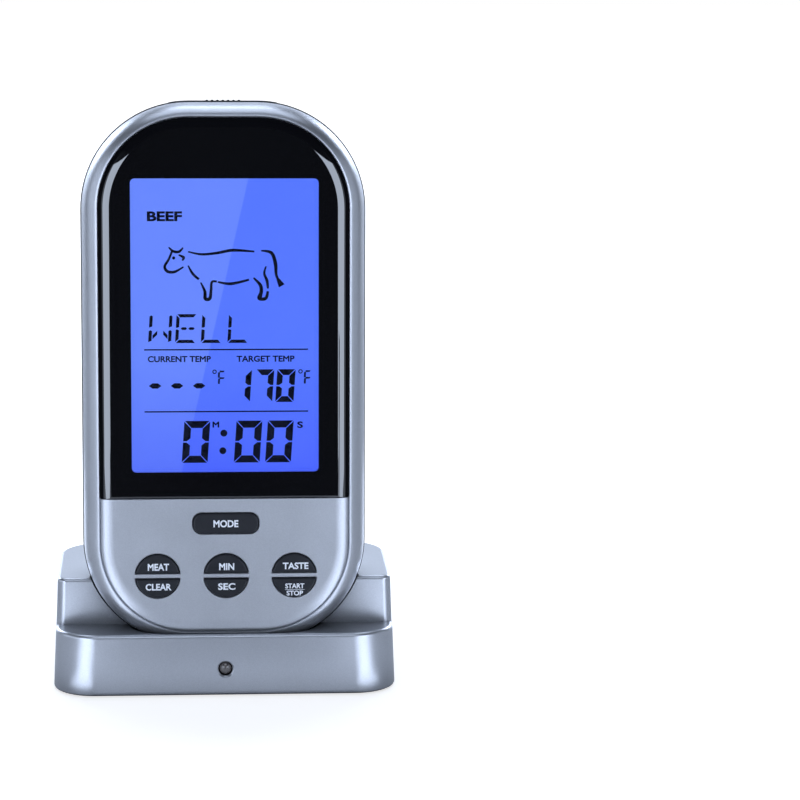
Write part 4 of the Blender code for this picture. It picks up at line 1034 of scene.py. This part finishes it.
def make_rear_shell():
    """Dark grained back with its band, step line and dome, and everything cut into it."""
    inner = list(reversed(rear_rings(WALL, 0.5)))
    # A ridge inside the rim reaches the front shell, so that the seam is a shallow line and not an open slot
    reach = -SEAM_GAP + 0.01 * MM
    ridge = [face_ring(WALL, reach), face_ring(SEAM_DEPTH, reach), face_ring(SEAM_DEPTH, SEAM_GAP),
             face_ring(0.2 * MM, SEAM_GAP)]
    shell = loft("rear_shell_fine", inner + ridge + rear_rings(), GUNMETAL)
    tub = middle_box("tub", TUB_HALF, mm(-1.95, 7.6), (9 * MM, TUB_TOP))
    rail = middle_box("rail", TUB_HALF, mm(7, 11), (16 * MM, TUB_TOP))
    seat = middle_box("seat", 10.6 * MM, mm(6.4, 11), mm(89, 108.6))
    join(shell, [tub, rail, seat])

    bay = middle_box("bay", 12.3 * MM, (-0.85 * MM, PAST), (BAY_BOTTOM, 62.2 * MM))
    half, top = DOOR_OPENING_HALF, DOOR_OPENING_TOP
    opening = centred(0.0, half, -PAST, top, 0.8 * MM)
    opening_wide = centred(0.0, 12.6 * MM, -PAST, 63.0 * MM, 1.0 * MM)
    ledge = middle_box("ledge", half, mm(10.45, 11.5), (BAY_BOTTOM, top))
    low_lip = middle_box("low_lip", half, (8.2 * MM, PAST), mm(4, 18))
    cut(shell, [bay, ledge, low_lip, flared("door", opening, opening_wide, 11.3 * MM, 0.2 * MM)])

    recess = centred(0.0, 7.55 * MM, RECESS_BOTTOM, 107.2 * MM, 0.5 * MM)
    recess_wide = centred(0.0, 7.7 * MM, 91.0 * MM, 107.35 * MM, 0.6 * MM)
    ears = middle_box("ears", 8.75 * MM, (8.4 * MM, PAST), (RECESS_BOTTOM, 99.2 * MM), None, 0.15 * MM)
    cut(shell, [flared("recess", recess, recess_wide, 7.6 * MM, 0.15 * MM), ears])

    x = SWITCH_X
    slot = centred(x, 0.95 * MM, 50.7 * MM, 55.4 * MM, 0.2 * MM)
    slot_wide = centred(x, 1.1 * MM, 50.55 * MM, 55.55 * MM, 0.35 * MM)
    cut(shell, flared("slot", slot, slot_wide, 4 * MM, 0.15 * MM))
    # The fine line engraved around the switch
    outer = centred(x, 2.55 * MM, 48.8 * MM, 57.3 * MM, 0.5 * MM)
    inner_line = centred(x, 2.2 * MM, 49.15 * MM, 56.95 * MM, 0.3 * MM)
    frame_line = prism("frame_line", outer, "y", REAR_DEPTH - 0.35 * MM, REAR_DEPTH + 1 * MM)
    cut(frame_line, prism("island", inner_line, "y", 5 * MM, PAST))
    cut(shell, frame_line)
    hole, hole_wide = (circle(*RESET_AT, radius) for radius in mm(1.0, 1.2))
    cut(shell, flared("reset", hole, hole_wide, 4 * MM, 0.2 * MM))
    for side in (-1, 1):
        for vent_z in VENT_Z:
            cut(shell, vent_cutters(side, vent_z))
    button = centred(0.0, 12.75 * MM, 0.85 * MM, 4.35 * MM, 1.3 * MM)
    cut(shell, prism("light_hole", button, "z", 110 * MM, 140 * MM))
    settle(even_normals(shell), "receiver", ["rear_shell"])

    # Raised words beside the reset hole and around the switch, in the shell's own plastic
    face = REAR_DEPTH + 0.04 * MM
    words = [
        ("reset_word", "RESET", RESET_AT[0], 50.1, 1.5, 6.4),
        ("off_word", "OFF", x, 58.9, 1.5, 4.2),
        ("on_word", "ON", x, 47.2, 1.5, 2.9),
        ("power_word", "POWER", x + 4.0 * MM, 52.9, 1.35, 6.6),
    ]
    for name, text, word_x, z, height, width in words:
        sideways = text == "POWER"
        label(name, text, (word_x, z * MM), height * MM, width * MM, face, RAISED, "receiver",
              "gunmetal_shell", 0.015, 0.16 * MM, turned_back=True, quarter_turn=sideways)


def make_battery_door():
    """The door is a patch of the back's own shape, with a chamfer around it and an engraved arrow."""
    door = loft("receiver_door_fine", list(reversed(rear_rings(1.1 * MM, 0.5))) + rear_rings(), GUNMETAL)
    low, high = DOOR_HEIGHTS
    chamfer = 0.2 * MM
    outline = centred(0.0, DOOR_HALF, low, high, 0.7 * MM)
    top = centred(0.0, DOOR_HALF - chamfer, low, high - chamfer, 0.5 * MM)
    levels = [(outline, 8.55 * MM), (outline, REAR_DEPTH - chamfer), (top, REAR_DEPTH + 0.001 * MM),
              (top, REAR_DEPTH + 1 * MM)]
    cut(door, stack("area", "y", levels), "INTERSECT")
    outer = [mm(-2.75, 56.75), mm(2.75, 56.75), mm(0.0, 53.8)]
    inner = [mm(-2.05, 56.45), mm(2.05, 56.45), mm(0.0, 54.25)]
    arrow = prism("arrow", outer, "y", REAR_DEPTH - 0.3 * MM, REAR_DEPTH + 1 * MM)
    cut(arrow, prism("arrow_middle", inner, "y", 5 * MM, PAST))
    cut(door, arrow)
    settle(even_normals(door), "receiver_battery_door", ["receiver_battery_door"])


def make_clip():
    """The belt clip: a flat tongue with a round tip, and a rolled end to press in the recess."""

    def outline(inset):
        half = CLIP_HALF - inset
        points = [(half, CLIP_TOP), (-half, CLIP_TOP), (-half, CLIP_TIP_START)]
        for step in range(1, 32):
            angle = math.pi * step / 32
            drop = (CLIP_TIP_START - CLIP_TIP - inset) * math.sin(angle) ** 0.85
            points.append((-half * math.cos(angle), CLIP_TIP_START - drop))
        points.append((half, CLIP_TIP_START))
        return points

    edges = (mm(0.15, 12.28), mm(0.0, 12.4), mm(0.0, 13.25), mm(0.1, 13.5), mm(0.3, 13.6))
    plate = stack("belt_clip_fine", "y", [(outline(inset), y) for inset, y in edges], GUNMETAL)
    # The lever seen from the side, in millimetres: up its outer face, around the rolled end, and down inside
    side = [(12.28, 90.0), (13.6, 90.0), (13.6, 97.2), (13.5, 98.6), (13.15, 100.2), (12.6, 101.7),
            (12.15, 102.9), (11.95, 103.8)]
    roll_y, roll_z, roll = 11.3, 104.9, 1.25
    for step in range(15):
        angle = math.radians(-45.0 + 225.0 * step / 14)
        side.append((roll_y + roll * math.cos(angle), roll_z + roll * math.sin(angle)))
    side += [(10.2, 103.6), (10.5, 102.2), (11.1, 100.4), (11.7, 98.8), (12.28, 97.2)]
    lever = prism("lever", [mm(*point) for point in side], "x", -CLIP_HALF, CLIP_HALF)
    knuckles = [turned("knuckle", CLIP_PIVOT.yz, "x", [mm(1.9, low), mm(1.9, high)])
                for low, high in ((-7.2, -3.6), (3.6, 7.2))]
    join(plate, [lever] + knuckles)
    cut(plate, turned("bore", CLIP_PIVOT.yz, "x", [mm(0.9, -9), mm(0.9, 9)]))
    # The thinner thumb end, below a shallow arched step
    arch = [(8 * MM, 60 * MM), (8 * MM, THUMB_STEP)]
    for step in range(13):
        arch.append(((6 - step) * 1.2 * MM, THUMB_STEP + 0.6 * MM * math.sin(math.pi * step / 12)))
    arch += [(-8 * MM, THUMB_STEP), (-8 * MM, 60 * MM)]
    cut(plate, prism("thumb_end", arch, "y", THUMB_DEPTH, 15 * MM))
    plate.data.materials.clear()
    plate.data.materials.append(GUNMETAL)
    plate.data.materials.append(COARSE)
    for face in plate.data.polygons:
        on_thumb_end = abs(face.center.y - THUMB_DEPTH) < 0.01 * MM and face.normal.y > 0.9
        face.material_index = 1 if on_thumb_end else 0
    settle(even_normals(plate), "belt_clip", ["belt_clip"])


def make_light_button():
    """The dark bar on the top edge, with a row of small ribs in its middle."""
    rings = list(reversed(rear_rings(1.9 * MM, 0.5)))
    for step in range(17):
        across, up = arc_share(step, 16, REAR_SWEEP)
        rings.append(face_ring(REAR_BAND_INSET * across - 0.16 * MM, SEAM_GAP + REAR_BAND_DEPTH * up))
    rings.append(face_ring(REAR_BAND_INSET, REAR_BAND_DEPTH + 2 * MM))
    button = loft("light_button_fine", rings, BLACK)
    area = centred(0.0, 12.48 * MM, 1.12 * MM, 4.08 * MM, 1.1 * MM, 8)
    cut(button, prism("area", area, "z", 112 * MM, 140 * MM), "INTERSECT")
    ribs = []
    for x in (-3.6, -2.4, -1.2, 0.0, 1.2, 2.4, 3.6):
        low = mm(x - 0.25, 1.5, 121)
        high = (*mm(x + 0.25, 3.7), HEIGHT + 0.22 * MM)
        ribs.append(box("rib", low, high, None, 0.1 * MM))
    join(button, ribs)
    settle(even_normals(button), "light_button", ["light_button"])


# ---------------------------------------------------------------- dock


def dock_ring(z, inset=0.0, front_y=None, front_radius=None):
    """The dock's plan at height z, narrower towards the top, moved in by the inset."""
    lean_in = DOCK_TAPER * z + inset
    x = DOCK_HALF_WIDTH - lean_in
    back = DOCK_HALF_DEPTH - lean_in
    front = -back if front_y is None else front_y + inset
    rb = DOCK_BACK_CORNER - inset
    rf = max((DOCK_FRONT_CORNER if front_radius is None else front_radius) - inset, 0.1 * MM)
    centres = [(x - rb, back - rb, rb), (rb - x, back - rb, rb),
               (rf - x, front + rf, rf), (x - rf, front + rf, rf)]
    return [(px, py, z) for px, py in corner_arcs(centres, 16)]


def dock_body(name, surface=None):
    """The low front lip and the tall back block as one solid with soft edges."""
    low = DOCK_LOW.z
    lip_rings = [dock_ring(low + rise, inset) for rise, inset in (mm(0, 0.5), mm(0.15, 0.2), mm(0.5, 0))]
    block = (STEP_FACE_Y, STEP_CORNER)
    block_rings = [dock_ring(low + 1 * MM, 0.02 * MM, *block)]
    for rings, top, front in ((lip_rings, LEDGE_Z, ()), (block_rings, DOCK_HIGH.z, block)):
        for step in range(9):
            across, up = arc_share(step, 8)
            rings.append(dock_ring(top - DOCK_EDGE * (1 - up), DOCK_EDGE * across + 0.02 * MM, *front))
    body = loft(name, lip_rings, surface)
    return join(body, loft("block", block_rings))


def pocket_shape(outward):
    """The receiver's outside, moved outward, as the shape of its seat in the dock."""
    front = []
    for step in range(12, -1, -1):
        across, up = arc_share(step, 12, 88.0)
        front.append(face_ring(FRONT_INSET + GROOVE_OUT * across - outward, -(FACE_DEPTH + outward) * up))
    return lean(loft("seat", front + [face_ring(-outward, SEAM_GAP / 2)] + rear_rings(-outward, 0.5)))


def make_dock():
    """The hollow dock with the receiver's seat in it, the status lamp and the probe socket."""
    shell = dock_body("dock_shell_fine", DOCK_SILVER)
    hollow = loft("hollow", [dock_ring(z, DOCK_WALL) for z in (-2 * MM, LEDGE_Z - DOCK_WALL)])
    heights = (-1 * MM, DOCK_HIGH.z - DOCK_WALL)
    join(hollow, loft("hollow", [dock_ring(z, DOCK_WALL, STEP_FACE_Y, STEP_CORNER) for z in heights]))
    liner = middle_box("liner", 14.2 * MM, mm(4, 14.2), mm(5.6, 40))
    cut(hollow, [pocket_shape(POCKET_GAP + WALL), lean(liner)])
    cut(shell, hollow)
    channel = middle_box("channel", 12.8 * MM, mm(4, 12.8), mm(7.1, 40))
    cut(shell, [pocket_shape(POCKET_GAP), lean(channel)])
    led = (LED_LOW + LED_HIGH) / 2
    jack = (JACK_LOW + JACK_HIGH) / 2
    face_y = -DOCK_HALF_DEPTH + DOCK_TAPER * led.z
    led_hole = [mm(2.4, -25), *offset([(2.0, -0.02), (1.65, 0.3)], 0.0, face_y), mm(1.65, -15)]
    cut(shell, turned("led_hole", (led.x, led.z), "y", led_hole))
    cut(shell, turned("jack_hole", (jack.y, jack.z), "x", [mm(2.3, 34), mm(2.3, 45)]))
    settle_upright(even_normals(shell), "dock", ["dock_shell"])

    tip = LED_LOW.y + 0.03 * MM
    lens_profile = [(LAMP_RADIUS, tip + 4.4 * MM), (LAMP_RADIUS, tip + LAMP_DOME)]
    for step in range(1, 10):
        across, up = arc_share(step, 10)
        lens_profile.append((LAMP_RADIUS * (1 - across), tip + LAMP_DOME * (1 - up)))
    lens = turned("status_lens", (led.x, led.z), "y", lens_profile, LENS)
    settle_upright(lens, "dock", ["status_led"])

    face_x = JACK_HIGH.x
    reach = 3 * MM
    low = (JACK_LOW.x, jack.y - reach, jack.z - reach)
    high = (36.2 * MM, jack.y + reach, jack.z + reach)
    socket = box("probe_jack_fine", low, high, CHROME, 0.4 * MM, "x")
    collar = [mm(2.1, 35), *offset([(2.1, -0.25), (2.02, -0.08), (1.85, 0)], 0.0, face_x)]
    join(socket, turned("collar", (jack.y, jack.z), "x", collar))
    bore = [mm(1.3, 27.5), *offset([(1.3, -0.3), (1.4, -0.1), (1.6, 0.01), (1.6, 3)], 0.0, face_x)]
    cut(socket, turned("bore", (jack.y, jack.z), "x", bore))
    settle_upright(even_normals(socket), "dock", ["probe_jack"])


def round_node(name):
    """The centre in plan, the radius, the bottom and the top of a round CAD piece under the dock."""
    low, high = (Vector(corner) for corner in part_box(name))
    return ((low + high) / 2).xy, (high.x - low.x) / 2, low.z, high.z


def make_underside():
    """The dock's battery door with its grip, the rubber feet, and the screws with their cross recesses."""
    low, high = (Vector(corner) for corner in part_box("dock_battery_door"))
    edge = 0.3 * MM
    outline = rounded_rectangle(low.xy, high.xy, 0.8 * MM)
    inner = rounded_rectangle((low.x + edge, low.y + edge), (high.x - edge, high.y - edge), 0.5 * MM)
    door = stack("dock_door_fine", "z", [(inner, low.z), (outline, low.z + edge), (outline, high.z)], BLACK)
    for row in range(5):
        y = low.y + (1.5 + 1.0 * row) * MM
        groove_low = (-6 * MM, y, low.z - 1 * MM)
        groove_high = (6 * MM, y + 0.45 * MM, low.z + 0.35 * MM)
        cut(door, box("grip", groove_low, groove_high, None, 0.2 * MM))
    settle_upright(even_normals(door), "dock_battery_door", ["dock_battery_door"])

    for number in range(1, 5):
        name = f"rubber_foot_{number}"
        centre, radius, bottom, top = round_node(name)
        profile = offset([(-0.45, 0), (-0.15, 0.1), (0, 0.35)], radius, bottom) + [(radius, top)]
        foot = turned(name + "_fine", centre, "z", profile, RUBBER)
        settle_upright(foot, "dock", [name])

        name = f"dock_screw_{number}"
        centre, radius, bottom, top = round_node(name)
        shank = 0.7 * MM
        profile = offset([(-0.5, 0), (-0.15, 0.12), (0, 0.3), (0, 0.4)], radius, bottom)
        profile += [(shank, bottom + 0.5 * MM), (shank, top)]
        screw = turned(name + "_fine", centre, "z", profile, STEEL)
        for half_x, half_y in (mm(1.0, 0.25), mm(0.25, 1.0)):
            low = (centre.x - half_x, centre.y - half_y, bottom - 1 * MM)
            high = (centre.x + half_x, centre.y + half_y, bottom + 0.3 * MM)
            cut(screw, box("recess", low, high))
        settle_upright(screw, "dock", [name])


# ---------------------------------------------------------------- CAD pieces that stay


def dress_cad_nodes():
    """Every CAD piece that stays gets its slot's finished material and smooth round stretches; the clip's pin and
    spring are coloured near black instead, as painted shade in the slots they show through.
    """
    slots = {row["node"]: row["material_slot"] for row in frame["record"]["subparts"]}
    for name, node in frame["nodes"].items():
        if node.hide_render:
            continue
        # The pin and spring are painted dark as shade inside the clip's slots
        surface = SHADE_DARKENED_STEEL if name in ("clip_pin", "clip_spring") else SLOT_MATERIALS[slots[name]]
        node.data.materials.clear()
        node.data.materials.append(surface)
        shade(node.data, 40.0)


# ---------------------------------------------------------------- studio


COOL_LIGHT = (0.75, 0.85, 1.03)


def area_light(name, centre, normal, width, height, radiance):
    """A rectangular softbox of even brightness, facing along its normal, out of the camera's sight."""
    data = bpy.data.lights.new(name, "AREA")
    data.shape = "RECTANGLE"
    data.size, data.size_y = width, height
    data.energy = radiance * math.pi * width * height
    data.color = COOL_LIGHT
    light = bpy.data.objects.new(name, data)
    bpy.context.scene.collection.objects.link(light)
    light.location = centre
    light.rotation_euler = Vector(normal).to_track_quat("-Z", "Y").to_euler()
    light.visible_camera = False
    return light


def upright_box(name, near, far, low, high, radiance):
    """A softbox standing between two points of the floor plan, facing the object."""
    near, far = Vector((*near, 0.0)), Vector((*far, 0.0))
    along = far - near
    normal = Vector((-along.y, along.x, 0.0))
    middle = (near + far) / 2
    if normal.dot(middle) > 0:
        normal = -normal
    middle.z = (low + high) / 2
    return area_light(name, middle, normal, along.length, high - low, radiance)


def make_floor():
    """A pale floor that glows more with distance, so that it meets the white room without an edge."""
    made = Surface("studio_floor", (0.56, 0.56, 0.56), 0.8)
    made.tint(made.noise(120 * MM, 2.0), (0.55, 0.55, 0.55), (0.57, 0.57, 0.57))
    reach = made.node("VectorMath", {0: made.place}, operation="LENGTH").outputs["Value"]
    glow = made.spread(reach, 0.72, 1.1, 0.05, 0.16)
    # Only the camera sees the glow, so that the object reflects the plain floor
    camera_ray = made.node("LightPath").outputs["Is Camera Ray"]
    made.set("Emission Strength", combined(made.tree, "MULTIPLY", glow, camera_ray))
    made.set("Emission Color", (1.0, 1.0, 1.0, 1.0))
    mesh_builder = bmesh.new()
    far = FLOOR_HALF
    corners = [(-far, FLOOR_FRONT), (far, FLOOR_FRONT), (far, far), (-far, far)]
    mesh_builder.faces.new([mesh_builder.verts.new((x, y, 0.0)) for x, y in corners])
    floor = finish(mesh_builder, "studio_floor", made.material)


def make_studio():
    """Softboxes around and above, cards on the floor, and a white room that only partly lights the object."""
    scene = bpy.context.scene
    scene.view_settings.view_transform = "Standard"
    make_floor()
    for side, name in ((-1, "left"), (1, "right")):
        upright_box(name + "_box", (side * 0.36, -1.56), (side * 0.60, -0.525), -0.15, 0.45, 3.2)
        upright_box(name + "_back_box", (side * 0.36, 1.40), (side * 0.60, 0.50), 0.0, 0.40, 1.2)
        beside = 0.8 if side < 0 else 0.4
        upright_box(name + "_side_box", (side * 0.62, -0.45), (side * 0.62, 0.15), -0.15, 0.45, beside)
        shoulder = (side * 0.455, 0.66, 0.40)
        area_light(name + "_shoulder_box", shoulder, -Vector(shoulder), 0.30, 0.30, 6.0)
    area_light("top_box", (0.0, 0.25, 0.90), (0.0, -0.1, -1.0), 0.8, 0.6, 1.5)
    area_light("front_top_box", (0.0, -0.55, 0.75), (0.0, 0.55, -0.63), 0.5, 0.35, 1.8)
    area_light("rear_top_box", (0.0, 0.70, 0.90), (0.0, -0.70, -0.78), 0.35, 0.3, 4.0)
    # Reflector cards fan out on the floor from the dock's four corners and put a bright stripe on each
    for side in (-1, 1):
        for front in (-1, 1):
            start = Vector((side * 35.5 * MM, front * 22 * MM, 1 * MM))
            turn = math.radians(24.0)
            along = Vector((side * math.sin(turn), front * math.cos(turn), 0.0))
            for near, far, wide in ((5, 30, 16), (30, 80, 40), (80, 200, 70)):
                centre = start + along * (near + far) / 2 * MM
                card = area_light("card", centre, (0.0, 0.0, 1.0), wide * MM, (far - near) * MM, 2.05)
                card.rotation_euler = (math.pi, 0.0, math.atan2(-along.x, along.y))
    area_light("front_card", mm(0.0, -40, 1), (0.0, 0.0, 1.0), 60 * MM, 32 * MM, 0.35)
    area_light("rear_card", mm(0.0, 75, 1), (0.0, 0.0, 1.0), 80 * MM, 100 * MM, 0.45)

    world = bpy.data.worlds.new("studio")
    scene.world = world
    world.use_nodes = True
    tree = world.node_tree
    tree.nodes.clear()
    # The camera sees white. What lights the object is a room that is dark in front, where the photographer
    # stands, a little paler to the left, bright straight behind, and dim overhead
    place = add_node(tree, "TexCoord").outputs["Generated"]
    axes = add_node(tree, "SeparateXYZ", {"Vector": place}).outputs
    beside = stretched(tree, axes["Y"], 0.01, 0.22, -0.75, 0.1)
    behind = stretched(tree, axes["Y"], 0.0, 1.1, 0.72, 0.95)
    left = stretched(tree, axes["X"], 0.0, 0.08, -0.3, -0.8)
    overhead = stretched(tree, axes["Z"], 1.0, 0.12, 0.3, 0.6)
    around = combined(tree, "ADD", combined(tree, "ADD", beside, behind), left)
    strength = combined(tree, "MULTIPLY", around, overhead)
    room = add_node(tree, "Background", {"Color": (*COOL_LIGHT, 1.0), "Strength": strength})
    seen = add_node(tree, "Background", {"Color": (1.0, 1.0, 1.0, 1.0)})
    camera_ray = add_node(tree, "LightPath").outputs["Is Camera Ray"]
    values = {"Fac": camera_ray, 1: room.outputs["Background"], 2: seen.outputs["Background"]}
    mix = add_node(tree, "MixShader", values)
    add_node(tree, "OutputWorld", {"Surface": mix.outputs["Shader"]})


def make_camera():
    data = bpy.data.cameras.new("camera")
    data.lens = CAMERA_LENS
    data.clip_start, data.clip_end = 0.05, 20.0
    camera = bpy.data.objects.new("camera", data)
    bpy.context.scene.collection.objects.link(camera)
    yaw, pitch, roll = (math.radians(angle) for angle in (CAMERA_YAW, 90.0 - CAMERA_DOWN, CAMERA_ROLL))
    turn = Matrix.Rotation(yaw, 4, "Z") @ Matrix.Rotation(pitch, 4, "X") @ Matrix.Rotation(roll, 4, "Z")
    camera.matrix_world = Matrix.Translation(CAMERA_AT) @ turn
    bpy.context.scene.camera = camera


make_camera()
make_front_shell()
make_keys()
make_window()
make_display()
make_key_labels()
make_rear_shell()
make_battery_door()
make_clip()
make_light_button()
make_dock()
make_underside()
dress_cad_nodes()
make_studio()
